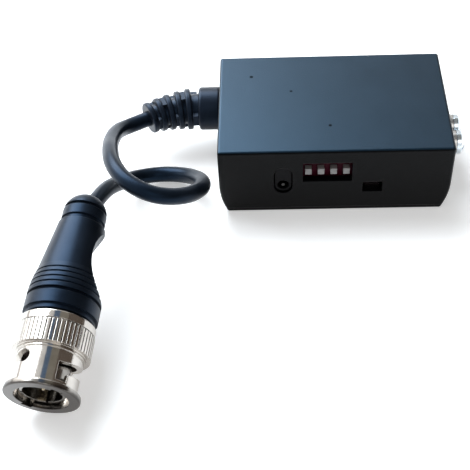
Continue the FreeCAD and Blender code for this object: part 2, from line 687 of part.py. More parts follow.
def make_base_plate():
    """The bottom plate with its raised floor, standoffs and the tabs that close the end openings."""
    body = new_body("base_body")
    corners = [
        (f"case_left + {end_inset('0')}", "0"),
        (f"case_right - {end_inset('0')}", "0"),
        (f"case_right - {end_inset('base_rim')}", "base_rim"),
        (f"case_left + {end_inset('base_rim')}", "base_rim"),
    ]
    arcs = {
        1: ("case_right - end_curve_radius", "end_curve_height", "left"),
        3: ("case_left + end_curve_radius", "end_curve_height", "left"),
    }
    pad(body, outline(body, "XZ_Plane", "base_outline", corners, arcs, "-case_back"), "case_depth")
    round_edges(body, "case_edge_round", lambda edge: not level(edge, value("base_rim")), "base_edges")
    floor = rectangle(body, "XY_Plane", "base_floor_outline",
                      ("inner_left + lip_clearance", "inner_right - lip_clearance"),
                      ("inner_front + lip_clearance", "inner_back - lip_clearance"), "base_rim")
    pad(body, floor, "base_floor")
    standoffs = circles(body, "XY_Plane", "standoffs", standoff_places(), "standoff_radius", "base_rim")
    pad(body, standoffs, "board_height - base_rim")
    pilots = circles(body, "XY_Plane", "standoff_pilots", standoff_places(),
                     "board_screw_radius + screw_fit", "board_height")
    pocket(body, pilots, "board_height - base_rim")
    holes = circles(body, "XY_Plane", "case_screw_holes", boss_places(), "case_screw_radius + 4 * screw_fit")
    pocket(body, holes, "floor_top", forwards=True)
    recesses = circles(body, "XY_Plane", "case_screw_recesses", boss_places(),
                       "case_screw_head_radius + head_recess_clearance")
    pocket(body, recesses, "base_rim", forwards=True)
    block = case_block("tab_block", "base_rim / 2")
    lead_tab = new_body("lead_tab_slab")
    edge = "relief_height - sqrt(relief_slot ^ 2 - relief_tab ^ 2)"
    corners = [("relief_y - relief_tab", "base_rim / 2"), ("relief_y + relief_tab", "base_rim / 2"),
               ("relief_y + relief_tab", edge), ("relief_y - relief_tab", edge)]
    seat = {2: ("relief_y", "relief_height", "right")}
    pad(lead_tab, outline(lead_tab, "YZ_Plane", "lead_tab_outline", corners, seat, "case_left"), "end_wall")
    insert_side = "(insert_width / 2 + insert_clearance - lip_clearance)"
    terminal_tab = box("terminal_tab_slab", ("inner_right", "case_right"),
                       (f"terminal_y - {insert_side}", f"terminal_y + {insert_side}"),
                       ("base_rim / 2", "board_top - insert_clearance"))
    tabs = doc.addObject("Part::MultiCommon", "end_tabs")
    tabs.Shapes = [block, group("tab_slabs", [lead_tab, terminal_tab])]
    keep(join("base_plate", [body, tabs]), "base_plate")


def cross_recess(body, name, half_width, half_length, depth, offset):
    """A driver cross sunk into a screw head."""
    a, b = half_width, half_length
    corners = [(b, a), (a, a), (a, b), (f"-({a})", b), (f"-({a})", a), (f"-({b})", a),
               (f"-({b})", f"-({a})"), (f"-({a})", f"-({a})"), (f"-({a})", f"-({b})"),
               (a, f"-({b})"), (a, f"-({a})"), (b, f"-({a})")]
    pocket(body, outline(body, "XY_Plane", name, corners, offset=offset), depth)


def screw(name, head_radius, head_height, edge, shank_radius, length):
    """A round-headed screw with its head from its own z=0 upwards and its shank below."""
    dome = f"((({head_radius}) ^ 2 + ({head_height} - ({edge})) ^ 2) / (2 * ({head_height} - ({edge}))))"
    corners = [("0", f"-({length})"), (f"{shank_radius} / 2", f"-({length})"),
               (shank_radius, f"-({length}) + {shank_radius}"), (shank_radius, "0"),
               (head_radius, "0"), (head_radius, edge), ("0", head_height)]
    return turned(name, corners, {5: ("0", f"{head_height} - {dome}", "left")})


def make_case_screws():
    """Four screws that come up through the base plate into the bosses."""
    screws = []
    for number, (x, y) in enumerate(boss_places(), start=1):
        body = screw(f"case_screw_{number}", "case_screw_head_radius", "case_screw_head_height",
                     "case_screw_head_height / 2", "case_screw_radius", "case_screw_length")
        cross_recess(body, f"case_cross_{number}", "case_screw_radius / 4", "case_screw_radius",
                     "case_screw_head_height / 2", "case_screw_head_height")
        screws.append(place(body, x, y, "base_rim", UPSIDE_DOWN))
    keep(group("case_screws", screws), "case_screws")


def make_board_screws():
    """Four screws that hold the board on its standoffs."""
    screws = []
    for number, (x, y) in enumerate(standoff_places(), start=1):
        body = screw(f"board_screw_{number}", "board_screw_head_radius", "board_screw_head_height",
                     "board_screw_head_height / 2", "board_screw_radius", "board_screw_length")
        cross_recess(body, f"board_cross_{number}", "board_screw_radius / 4", "board_screw_radius",
                     "board_screw_head_height / 2", "board_screw_head_height")
        screws.append(place(body, x, y, "board_top"))
    keep(group("board_screws", screws), "board_screws")


def lever_x(number):
    """The middle of a lever, counted from the left, as a formula."""
    return f"(switch_x + ({number} - (lever_count - 1) / 2) * lever_pitch)"


def switch_pin_places():
    """The solder pins of the switch: two rows, one pin of each per lever."""
    rows = ("switch_back - switch_base_depth / 2 - pin_row_spacing / 2",
            "switch_back - switch_base_depth / 2 + pin_row_spacing / 2")
    return [(lever_x(number), row) for number in range(int(value("lever_count"))) for row in rows]


def post_places():
    """The heights round which the two terminals stand, as formulas along Y."""
    return ("terminal_y - terminal_pitch / 2", "terminal_y + terminal_pitch / 2")


def tag_x():
    """The middle of a terminal's solder tag along X."""
    return "(case_right - post_depth + post_tag_width)"


def flange_end():
    """Where the strain relief's inner flange ends along X."""
    return "(inner_left + relief_wall_gap + relief_flange_thickness)"


def make_circuit_board():
    """The board, with notches round the bosses and holes for screws, pins and tags."""
    plate = box("board_plate", ("board_left", "board_right"), ("board_front", "board_back"),
                ("board_height", "board_top"))
    holes = []
    for number, (x, y) in enumerate(boss_places(), start=1):
        holes.append(rod(f"boss_notch_{number}", "boss_radius + boss_notch_clearance",
                         "board_thickness", x, y, "board_height"))
    for number, (x, y) in enumerate(standoff_places(), start=1):
        holes.append(rod(f"screw_hole_{number}", "board_screw_radius + 2 * screw_fit",
                         "board_thickness", x, y, "board_height"))
    for number, (x, y) in enumerate(switch_pin_places(), start=1):
        holes.append(rod(f"pin_hole_{number}", "pin_radius + screw_fit", "board_thickness",
                         x, y, "board_height"))
    for number, y in enumerate(post_places(), start=1):
        holes.append(rod(f"tag_hole_{number}", "post_tag_width / 2 + screw_fit", "board_thickness",
                         tag_x(), y, "board_height"))
    notch_side = "(relief_flange_radius + boss_notch_clearance)"
    holes.append(box("relief_notch", ("board_left", f"{flange_end()} + boss_notch_clearance"),
                     (f"relief_y - {notch_side}", f"relief_y + {notch_side}"), ("board_height", "board_top")))
    keep(cut("circuit_board", plate, holes), "circuit_board")


def make_power_socket():
    """The power socket in the round-ended window: housing with a nose, centre pin and side spring."""
    half, side = "socket_width / 2", "(socket_window_width / 2 - socket_nose_gap)"
    blocks = [
        box("socket_block", (f"socket_x - {half}", f"socket_x + {half}"),
            ("behind_wall", "behind_wall + socket_length"), ("board_top", "socket_top")),
        box("socket_nose", (f"socket_x - {side}", f"socket_x + {side}"),
            ("socket_front", "behind_wall + contact_thickness"), ("socket_low", "socket_high")),
    ]
    for end in ("low", "high"):
        blocks.append(rod(f"socket_nose_{end}", side, "behind_wall + contact_thickness - socket_front",
                          "socket_x", "socket_front", f"socket_{end}", TO_BACK))
    housing = join("socket_housing", blocks)
    bore_length = "behind_wall + socket_bore_depth - socket_front"
    bore = rod("socket_bore", "socket_bore_radius", bore_length, "socket_x", "socket_front",
               "socket_height", TO_BACK)
    root = rod("socket_root_hole", "socket_pin_root_radius + jacket_gap", "socket_length", "socket_x",
               "behind_wall", "socket_height", TO_BACK)
    spring_left = "socket_x + socket_bore_radius"
    channel = box("spring_channel", ("socket_x", f"{spring_left} + 2 * contact_thickness"),
                  ("behind_wall + contact_thickness", "behind_wall + socket_length"),
                  ("socket_height - 2 * contact_thickness", "socket_height + 2 * contact_thickness"))
    keep(cut("power_socket", housing, [bore, root, channel]), "power_socket")
    pin_body = rod("socket_pin_bar", "socket_pin_radius", bore_length, "socket_x", "socket_front",
                   "socket_height", TO_BACK)
    pin_root = rod("socket_pin_root", "socket_pin_root_radius", "socket_length - socket_bore_depth",
                   "socket_x", "behind_wall + socket_bore_depth", "socket_height", TO_BACK)
    tail = box("socket_pin_tail", ("socket_x - contact_thickness", "socket_x + contact_thickness"),
               ("behind_wall + socket_length", "behind_wall + socket_length + contact_thickness"),
               ("board_top", "socket_height + contact_thickness"))
    keep(join("power_socket_pin", [pin_body, pin_root, tail]), "power_socket_pin")
    spring = new_body("power_socket_spring")
    back = "behind_wall + socket_length + contact_thickness"
    corners = [
        ("behind_wall + 2 * contact_thickness", "socket_height - 1.5 * contact_thickness"),
        (f"{back} - contact_thickness / 2", "socket_height - 1.5 * contact_thickness"),
        (f"{back} - contact_thickness / 2", "board_top"),
        (f"{back} + contact_thickness", "board_top"),
        (f"{back} + contact_thickness", "socket_height + 1.5 * contact_thickness"),
        ("behind_wall + 2 * contact_thickness", "socket_height + 1.5 * contact_thickness"),
    ]
    sketch = outline(spring, "YZ_Plane", "spring_outline", corners,
                     offset=f"{spring_left} + contact_thickness / 2")
    pad(spring, sketch, "contact_thickness")
    keep(spring, "power_socket_spring")


def make_switch():
    """The switch bank: front shell, rear block, pins and one sliding lever for each switch."""
    sides = ("switch_x - switch_body_width / 2", "switch_x + switch_body_width / 2")
    heights = ("board_top", "switch_body_top")
    front = box("switch_front", sides, ("behind_wall", "switch_joint"), heights)
    lever_foot = "lever_middle - lever_height / 2"
    lever_top = "lever_middle + lever_height / 2"
    foot_low = "lever_middle - lever_foot_height / 2"
    foot_high = "lever_middle + lever_foot_height / 2"
    gap = "lever_clearance"
    foot_back = "behind_wall + lever_slot_depth + lever_foot_depth"
    openings = []
    for number in range(int(value("lever_count"))):
        middle = lever_x(number)
        slot_side = f"(lever_width / 2 + {gap})"
        openings.append(box(f"lever_slot_{number + 1}",
                            (f"{middle} - {slot_side}", f"{middle} + {slot_side}"),
                            ("behind_wall", "switch_joint"),
                            (f"{lever_foot} - lever_travel - {gap}", f"{lever_top} + {gap}")))
        room_side = f"(lever_foot_width / 2 + {gap})"
        openings.append(box(f"lever_room_{number + 1}",
                            (f"{middle} - {room_side}", f"{middle} + {room_side}"),
                            ("behind_wall + lever_slot_depth", "switch_joint"),
                            (f"{foot_low} - lever_travel - {gap}", f"{foot_high} + {gap}")))
    keep(cut("switch_cover", front, openings), "switch_cover")
    keep(box("switch_base", sides, ("switch_joint", "switch_back"), heights), "switch_base")
    for number in range(int(value("lever_count"))):
        middle = lever_x(number)
        stem = box(f"lever_stem_{number + 1}", (f"{middle} - lever_width / 2", f"{middle} + lever_width / 2"),
                   ("behind_wall - lever_reach", foot_back), (lever_foot, lever_top))
        foot = box(f"lever_foot_{number + 1}",
                   (f"{middle} - lever_foot_width / 2", f"{middle} + lever_foot_width / 2"),
                   (f"behind_wall + lever_slot_depth + {gap}", foot_back), (foot_low, foot_high))
        keep(join(f"lever_{number + 1}", [stem, foot]), f"switch_lever_{number + 1}")
    pins = [rod(f"switch_pin_{number}", "pin_radius", "board_thickness + pin_below_board", x, y,
                "board_height - pin_below_board")
            for number, (x, y) in enumerate(switch_pin_places(), start=1)]
    keep(group("switch_pins", pins), "switch_pins")


def make_indicator():
    """The indicator light behind its narrow window, with a rounded lens edge."""
    body = new_body("indicator_led")
    sides = ("led_x - led_width / 2", "led_x + led_width / 2")
    sketch = rectangle(body, "XY_Plane", "led_outline", sides,
                       ("behind_wall", "behind_wall + led_depth"), "board_top")
    pad(body, sketch, "led_height")
    front = value("behind_wall")
    round_edges(body, "led_edge_round", lambda edge: edge.BoundBox.YMax < front + 0.01, "led_lens_edges")
    keep(body, "indicator_led")


def make_terminals():
    """The line terminals: insert, posts, clamp washers and screws."""
    insert = box("insert_block", ("insert_left", "case_right"),
                 ("terminal_y - insert_width / 2", "terminal_y + insert_width / 2"),
                 ("board_top", "insert_top"))
    holes, posts = [], []
    for number, y in enumerate(post_places(), start=1):
        holes.append(rod(f"post_hole_{number}", "post_radius + screw_fit", "post_depth + post_proud",
                         "case_right - post_depth", y, "terminal_height", TO_RIGHT))
        holes.append(box(f"tag_slot_{number}", (f"{tag_x()} - post_tag_width", f"{tag_x()} + post_tag_width"),
                         (f"{y} - post_tag_width", f"{y} + post_tag_width"),
                         ("board_top", "terminal_height")))
        bar = rod(f"post_bar_{number}", "post_radius", "post_depth + post_proud",
                  "case_right - post_depth", y, "terminal_height", TO_RIGHT)
        tag = rod(f"post_tag_{number}", "post_tag_width / 2", "terminal_height - post_radius / 2 "
                  "- board_height + pin_below_board", tag_x(), y, "board_height - pin_below_board")
        bore = rod(f"post_bore_{number}", "terminal_shank_radius + screw_fit",
                   "terminal_screw_length - post_proud / 2 + post_tag_width / 4",
                   "head_x - terminal_screw_length - post_tag_width / 4", y, "terminal_height", TO_RIGHT)
        posts.append(cut(f"terminal_post_{number}", join(f"post_blank_{number}", [bar, tag]), [bore]))
        washer = tube(f"clamp_washer_{number}", "washer_radius", "terminal_shank_radius + 2 * screw_fit",
                      "0", "washer_thickness")
        keep(place(washer, "washer_x", y, "terminal_height", TO_RIGHT), f"clamp_washer_{number}")
        body = screw(f"terminal_screw_{number}", "terminal_head_radius", "terminal_head_height",
                     "terminal_head_edge", "terminal_shank_radius", "terminal_screw_length")
        slot = rectangle(body, "XY_Plane", f"driver_slot_{number}", ("-slot_width / 2", "slot_width / 2"),
                         ("-terminal_head_radius", "terminal_head_radius"), "terminal_head_height")
        pocket(body, slot, "slot_depth")
        keep(place(body, "head_x", y, "terminal_height", TO_RIGHT), f"terminal_screw_{number}")
    keep(cut("terminal_insert", insert, holes), "terminal_insert")
    keep(group("terminal_posts", posts), "terminal_posts")


def make_balun():
    """The balun transformer: ferrite ring on a header, with its turns of wire."""
    x, y = on_board(BALUN_SHARE)
    keep(standing("balun_header", x, y, "header_width", "header_width", "header_thickness"), "balun_header")
    ring = tube("balun_core", "core_ring_outer", "core_ring_inner", "0", "core_ring_height")
    ring_top = value("core_ring_height")
    round_edges(ring, "core_edge_round", lambda edge: level(edge, 0) or level(edge, ring_top), "core_edges")
    keep(place(ring, x, y, "ring_foot"), "balun_core")
    gap, wire = value("winding_gap"), value("wire_thickness")
    inner, outer = value("core_ring_inner") - gap, value("core_ring_outer") + gap
    low, high = value("ring_foot") - gap, value("ring_foot + core_ring_height") + gap
    turns = []
    count = int(value("winding_turns"))
    for number in range(count):
        loop = Part.makeBox(outer - inner + 2 * wire, wire, high - low + 2 * wire,
                            Vector(inner - wire, -wire / 2, low - wire))
        window = Part.makeBox(outer - inner, wire, high - low, Vector(inner, -wire / 2, low))
        turn = loop.cut(window)
        turn.rotate(Vector(0, 0, 0), Z_AXIS, 360 / count * (number + 0.5))
        turns.append(turn)
    windings = solid("balun_windings", Part.makeCompound(turns))
    keep(place(windings, x, y), "balun_windings")


def standing(name, x, y, length, depth, height, foot="board_top"):
    """A block on the circuit board round a place given by formulas."""
    return box(name, (f"{x} - {length} / 2", f"{x} + {length} / 2"),
               (f"{y} - {depth} / 2", f"{y} + {depth} / 2"), (foot, f"{foot} + {height}"))


def make_amplifier():
    """The amplifier chip and its eight leads."""
    x, y = on_board(CHIP_SHARE)
    foot = "board_top + chip_lead_thickness"
    keep(standing("amplifier_chip", x, y, "chip_width", "chip_length", "chip_height", foot), "amplifier_chip")
    sides = {
        "left": (f"{x} - chip_width / 2 - chip_lead_reach", f"{x} - chip_width / 4"),
        "right": (f"{x} + chip_width / 4", f"{x} + chip_width / 2 + chip_lead_reach"),
    }
    leads = []
    for side, ends in sides.items():
        for row in range(4):
            middle = f"({y} + ({row} - 1.5) * chip_lead_pitch)"
            leads.append(box(f"chip_lead_{side}_{row + 1}", ends,
                             (f"{middle} - chip_lead_thickness", f"{middle} + chip_lead_thickness"),
                             ("board_top", foot)))
    keep(group("amplifier_leads", leads), "amplifier_leads")


def make_capacitors():
    """Two electrolytic capacitors on their square feet."""
    for number, shares in enumerate(CAPACITOR_SHARES, start=1):
        x, y = on_board(shares)
        foot = standing(f"capacitor_foot_{number}", x, y, "capacitor_foot", "capacitor_foot",
                        "capacitor_foot_height")
        can = rod(f"capacitor_can_{number}", "capacitor_radius", "capacitor_height", x, y,
                  "board_top + capacitor_foot_height")
        keep(join(f"capacitor_{number}", [foot, can]), f"capacitor_{number}")


def make_board_parts():
    """The voltage regulator, the surge suppressors and the small chip parts."""
    x, y = on_board(REGULATOR_SHARE)
    keep(standing("voltage_regulator", x, y, "regulator_length", "regulator_depth", "regulator_height"),
         "voltage_regulator")
    corner_x, _ = on_board((LAST_SURGE_SHARE, 0))
    corner = (corner_x, "((insert_back + case_back - boss_side_inset - boss_radius) / 2)")
    surges = [standing(f"surge_suppressor_{number}", x, y, "surge_length", "surge_depth", "surge_height")
              for number, (x, y) in enumerate((on_board(SURGE_SHARE), corner), start=1)]
    keep(group("surge_suppressors", surges), "surge_suppressors")
    aside = "(part_length + part_gap) / 2"
    behind = "(behind_wall + led_depth + part_gap + part_depth / 2)"
    places = [on_board(shares) for shares in PART_SHARES]
    places += [(f"(led_x - {aside})", behind), (f"(led_x + {aside})", behind)]
    parts = [standing(f"chip_part_{number}", x, y, "part_length", "part_depth", "part_height")
             for number, (x, y) in enumerate(places, start=1)]
    keep(group("chip_parts", parts), "chip_parts")


def lead_centreline():
    """The lead's way out of the case: a straight stretch, then the curve of the strain relief.

    Returns the start of the curve, its end and the lead's direction at that end.
    """
    start = Vector(value("case_left - relief_wall_gap - relief_collar_length"),
                   value("relief_y"), value("relief_height"))
    radius, turn = value("relief_bend_radius"), math.radians(value("relief_turn"))
    end = start + Vector(-radius * math.sin(turn), -radius * (1 - math.cos(turn)), 0)
    return start, end, Vector(-math.cos(turn), -math.sin(turn), 0)


def along_relief(distance):
    """The point and the direction at a distance along the relief's curve."""
    start, _, _ = lead_centreline()
    radius = value("relief_bend_radius")
    angle = distance / radius
    point = start + Vector(-radius * math.sin(angle), -radius * (1 - math.cos(angle)), 0)
    return point, Vector(-math.cos(angle), -math.sin(angle), 0)


def swept_rod(edges, radius):
    """A round rod along a chain of edges."""
    path = Part.Wire(edges)
    first = edges[0]
    start = first.valueAt(first.FirstParameter)
    direction = first.tangentAt(first.FirstParameter)
    ring = Part.Wire([Part.makeCircle(radius, start, direction)])
    return path.makePipeShell([ring], True, False)


def relief_arc():
    """The edge of the relief's curve."""
    start, end, _ = lead_centreline()
    middle, _ = along_relief(value("relief_bend_radius") * math.radians(value("relief_turn")) / 2)
    return Part.Arc(start, middle, end).toShape()


def make_strain_relief():
    """The moulded strain relief: flange, neck, collar, then ribs on a tapering curved core."""
    start, end, _ = lead_centreline()
    axis_y, axis_z = start.y, start.z
    wall_out, wall_in = value("case_left"), value("inner_left")
    gap = value("relief_wall_gap")

    def disc(radius, from_x, to_x):
        return Part.makeCylinder(radius, to_x - from_x, Vector(from_x, axis_y, axis_z), X_AXIS)

    collar = disc(value("relief_collar_radius"), start.x, wall_out - gap)
    collar = collar.makeFillet(value("collar_edge_round"), [
        edge for edge in collar.Edges if edge.BoundBox.XLength < 1e-6])
    neck = disc(value("relief_neck_radius"), wall_out - 2 * gap, wall_in + 2 * gap)
    flange = disc(value("relief_flange_radius"), wall_in + gap, value(flange_end()))
    length = value("relief_bend_radius") * math.radians(value("relief_turn"))
    rings = []
    for step in range(CURVE_STEPS + 1):
        share = step / CURVE_STEPS
        point, direction = along_relief(length * share)
        radius = value("relief_core_start") * (1 - share) + value("relief_core_end") * share
        rings.append(Part.Wire([Part.makeCircle(radius, point, direction)]))
    shape = Part.makeLoft(rings, True, False).multiFuse([collar, neck, flange])
    count = int(value("rib_count"))
    thickness, pitch = value("rib_thickness"), value("rib_pitch")
    first, last = value("first_rib_radius"), value("last_rib_radius")
    for number in range(count):
        radius = first + (last - first) * number / max(count - 1, 1)
        rib_end, direction = along_relief(length - pitch * (count - 1 - number))
        point = rib_end - direction * thickness
        rib = Part.makeCylinder(radius, thickness, point, direction)
        circles_of_rib = [edge for edge in rib.Edges if edge.Closed and len(edge.Vertexes) == 1]
        rib = rib.makeFillet(value("rib_edge_round"), circles_of_rib)
        shape = shape.fuse(rib)
        upright = number % 2 == 1
        side = Z_AXIS if upright else direction.cross(Z_AXIS)
        across = direction.cross(side)
        width, reach = value("bridge_width"), radius - value("web_inset")
        web_start = point - direction * (pitch - thickness / 2)
        web = Part.makePolygon([web_start + side * reach + across * width / 2,
                                web_start + side * reach - across * width / 2,
                                web_start - side * reach - across * width / 2,
                                web_start - side * reach + across * width / 2,
                                web_start + side * reach + across * width / 2])
        shape = shape.fuse(Part.Face(web).extrude(direction * pitch))
    inner_end = Vector(value(flange_end()), axis_y, axis_z)
    bore = swept_rod([Part.LineSegment(inner_end, start).toShape(), relief_arc()],
                     value("cable_radius + jacket_gap"))
    keep(solid("strain_relief", shape.cut(bore).removeSplitter()), "strain_relief")
    return inner_end


def make_lead(inner_end):
    """The lead inside the relief and the case: jacket, then core and braid down to the board."""
    start, _, _ = lead_centreline()
    jacket_end = inner_end + X_AXIS * value("tail_length")
    jacket = swept_rod([Part.LineSegment(jacket_end, start).toShape(), relief_arc()], value("cable_radius"))
    keep(solid("lead_jacket", jacket), "lead_jacket")
    board = value("board_top")
    height = value("relief_height")

    def tail(name, radius, sideways, reach):
        begin = jacket_end + Vector(0, sideways, 0)
        knee = Vector(begin.x + reach, begin.y, height)
        foot = Vector(knee.x, knee.y, board)
        bend = min(height - board, reach) * BEND_SHARE
        corner = Part.Arc(knee - X_AXIS * bend,
                          knee + (Vector(-1, 0, -1) * (1 - math.sqrt(0.5)) * bend),
                          knee - Z_AXIS * bend).toShape()
        edges = [Part.LineSegment(begin, knee - X_AXIS * bend).toShape(), corner,
                 Part.LineSegment(knee - Z_AXIS * bend, foot).toShape()]
        keep(solid(name, swept_rod(edges, radius)), name)

    tail("lead_core", value("core_radius"), value("core_tail_side"), value("core_tail_reach"))
    tail("lead_braid", value("braid_tail_radius"), -value("braid_tail_side"), value("braid_tail_reach"))


def plug_placement():
    """The plug's place: mouth at its own origin, tail along its own +Z."""
    lean = value("plug_lean")
    height = value("flange_radius") * math.cos(math.radians(lean)) + value("table_clearance")
    mouth = Vector(value("plug_mouth_x"), value("plug_mouth_y"), height)
    rotation = App.Rotation(Z_AXIS, -value("plug_heading")).multiply(App.Rotation(X_AXIS, lean - 90))
    return App.Placement(mouth, rotation)


def entry_frame():
    """Where the lead enters the boot: dome centre, direction outwards and the point on the flat."""
    placement = plug_placement()
    centre = placement.multVec(Vector(0, 0, value("dome_station")))
    outwards = (Vector(*CABLE_MIDDLE[-1]) - centre).normalize()
    flat_radius = value("cable_radius + jacket_gap + entry_margin")
    depth = math.sqrt(value("dome_radius") ** 2 - flat_radius ** 2)
    return centre, outwards, centre + outwards * depth


def in_plug_frame(shape):
    """A shape of the whole frame, moved to the plug's own frame."""
    moved = shape.copy()
    moved.transformShape(plug_placement().inverse().toMatrix())
    return moved


def plug_lead_edges():
    """The lead inside the boot, from the flat round the dome's centre to the crimp stem."""
    centre, outwards, entry = entry_frame()
    stem = plug_placement().multVec(Vector(0, 0, value("stem_end")))
    return cord_edges([entry, centre, stem])


def cord_edges(points):
    """Straight runs joined by tangent arcs, each as large as its two runs allow."""
    edges = []
    last = points[0]
    for before, corner, after in zip(points, points[1:], points[2:]):
        back, ahead = before - corner, after - corner
        tangent = BEND_SHARE * min(back.Length, ahead.Length)
        back.normalize()
        ahead.normalize()
        turn = math.pi - back.getAngle(ahead)
        radius = tangent / math.tan(turn / 2)
        inwards = (back + ahead).normalize()
        first, second = corner + back * tangent, corner + ahead * tangent
        middle = corner + inwards * (math.hypot(radius, tangent) - radius)
        edges.append(Part.LineSegment(last, first).toShape())
        edges.append(Part.Arc(first, middle, second).toShape())
        last = second
        print(f"bend of {math.degrees(turn):.0f} degrees with a radius of {radius:.1f}")
    edges.append(Part.LineSegment(last, points[-1]).toShape())
    return edges


def make_cable():
    """The free lead from the relief's tip, round its loop, to the boot."""
    _, tip, direction = lead_centreline()
    _, _, entry = entry_frame()
    points = [tip, tip + direction * FIRST_RUN] + [Vector(*point) for point in CABLE_MIDDLE] + [entry]
    edges = cord_edges(points)
    radius = value("cable_radius")
    cable = swept_rod(edges, radius)
    length = sum(edge.Length for edge in edges)
    print(f"cable length {length:.1f}, volume {cable.Volume:.1f}, section times length "
          f"{math.pi * radius ** 2 * length:.1f}, lowest point {cable.BoundBox.ZMin:.2f}")
    keep(solid("cable", cable), "cable")


def make_coupling_sleeve():
    """The coupling sleeve: flange, bayonet slots, knurled grip and rear wall."""
    knurl_back = "knurl_end + rim_groove"
    corners = [
        ("sleeve_bore_radius", "0"), ("flange_radius", "0"), ("flange_radius", "flange_thickness"),
        ("sleeve_radius", "flange_thickness"), ("sleeve_radius", "sleeve_step"),
        ("step_radius", "sleeve_step"), ("step_radius", "knurl_start"), ("knurl_radius", "knurl_start"),
        ("knurl_radius", "knurl_end"), ("knurl_radius - knurl_depth", "knurl_end"),
        ("knurl_radius - knurl_depth", knurl_back), ("rim_radius", knurl_back),
        ("rim_radius", "sleeve_length"), ("neck_radius + neck_fit", "sleeve_length"),
        ("neck_radius + neck_fit", "lip_start"), ("sleeve_bore_radius", "lip_start"),
    ]
    body = turned("sleeve_body", corners)
    flange, rim, rear = value("flange_radius"), value("rim_radius"), value("sleeve_length")

    def outer_edge(edge):
        circle = edge.Curve
        if not isinstance(circle, Part.Circle):
            return False
        height = edge.BoundBox.ZMin
        at_flange = abs(circle.Radius - flange) < 1e-6
        at_rim = abs(circle.Radius - rim) < 1e-6 and abs(height - rear) < 1e-6
        return at_flange or at_rim

    round_edges(body, "sleeve_edge_round", outer_edge, "sleeve_edges")
    half = "knurl_groove_width / 2"
    groove = outline(body, "XY_Plane", "knurl_groove",
                     [(f"-{half}", "knurl_radius + knurl_depth"), ("0", "knurl_radius - knurl_depth"),
                      (half, "knurl_radius + knurl_depth")], offset="knurl_end")
    groove_cut = pocket(body, groove, "knurl_end - knurl_start")
    pattern = body.newObject("PartDesign::PolarPattern", "knurl_pattern")
    pattern.Originals = [groove_cut]
    z_axis = next(item for item in body.Origin.OriginFeatures if item.Role == "Z_Axis")
    pattern.Axis = (z_axis, [""])
    pattern.Angle = 360
    bind(pattern, Occurrences="knurl_count")
    body.Tip = pattern
    doc.recompute()
    sleeve = cut("coupling_sleeve", body, [solid("bayonet_slots", bayonet_slots())])
    sleeve.Placement = plug_placement()
    keep(sleeve, "coupling_sleeve")


def bayonet_slots():
    """Two slots half a turn apart: an entry along the axis, a rising ramp and a detent hole."""
    half = value("slot_half_width")
    inner, outer = value("contact_radius"), value("knurl_radius")
    entry, turn = value("slot_entry_angle"), value("slot_turn")
    ramp_start, ramp_end = value("slot_ramp_start"), value("slot_ramp_end")
    sections = []
    for step in range(CURVE_STEPS + 1):
        middle = ramp_start + (ramp_end - ramp_start) * step / CURVE_STEPS
        corners = [Vector(inner, 0, middle - half), Vector(outer, 0, middle - half),
                   Vector(outer, 0, middle + half), Vector(inner, 0, middle + half)]
        section = Part.makePolygon(corners + corners[:1])
        section.rotate(Vector(0, 0, 0), Z_AXIS, entry + turn * step / CURVE_STEPS)
        sections.append(section)
    ramp = Part.makeLoft(sections, True, True)
    start = value("slot_entry_start")
    way_in = Part.makeBox(outer - inner, 2 * half, ramp_start + half - start, Vector(inner, -half, start))
    groove_depth = value("sleeve_bore_radius + entry_groove_depth") - inner
    groove = Part.makeBox(groove_depth, 2 * half, ramp_start, Vector(inner, -half, 0))
    for shape in (way_in, groove):
        shape.rotate(Vector(0, 0, 0), Z_AXIS, entry)
    detent = Part.makeCylinder(value("detent_radius"), outer - inner,
                               Vector(inner, 0, value("detent_station")), X_AXIS)
    detent.rotate(Vector(0, 0, 0), Z_AXIS, entry + turn)
    slot = ramp.multiFuse([way_in, groove, detent])
    opposite = slot.copy()
    opposite.rotate(Vector(0, 0, 0), Z_AXIS, 180)
    return slot.fuse(opposite)


def seat(item, name):
    """Keep a piece that was made in the plug's own frame, and set it in the plug's place."""
    item.Placement = plug_placement()
    return keep(item, name)


def make_plug_body():
    """The plug's fixed metal body: slit contact tube, shoulder, neck with its ring groove, crimp stem."""
    inner = "contact_radius - contact_wall"
    groove_start = "sleeve_length + ring_gap"
    groove_end = "sleeve_length + ring_gap + ring_thickness"
    groove_floor = "neck_radius - ring_height / 2"
    bore = "insulator_radius + jacket_gap"
    stem_bore = "core_radius + jacket_gap"
    corners = [
        (inner, "contact_start"), ("contact_radius", "contact_start"), ("contact_radius", "shoulder_start"),
        ("sleeve_bore_radius - shoulder_gap", "shoulder_start"),
        ("sleeve_bore_radius - shoulder_gap", "shoulder_end"), ("neck_radius", "shoulder_end"),
        ("neck_radius", groove_start), (groove_floor, groove_start), (groove_floor, groove_end),
        ("neck_radius", groove_end), ("neck_radius", "stem_start"), ("stem_radius", "stem_start"),
        ("stem_radius", "stem_end"), (stem_bore, "stem_end"), (stem_bore, "stem_start - contact_wall"),
        (bore, "stem_start - contact_wall"), (bore, "shoulder_start"), (inner, "shoulder_start"),
    ]
    body = turned("plug_body_blank", corners)
    slits = [box("contact_slit_x", ("-contact_radius", "contact_radius"),
                 ("-contact_slit_width / 2", "contact_slit_width / 2"),
                 ("contact_start", "contact_start + contact_slit_length")),
             box("contact_slit_y", ("-contact_slit_width / 2", "contact_slit_width / 2"),
                 ("-contact_radius", "contact_radius"),
                 ("contact_start", "contact_start + contact_slit_length"))]
    seat(cut("plug_body", body, slits), "plug_body")


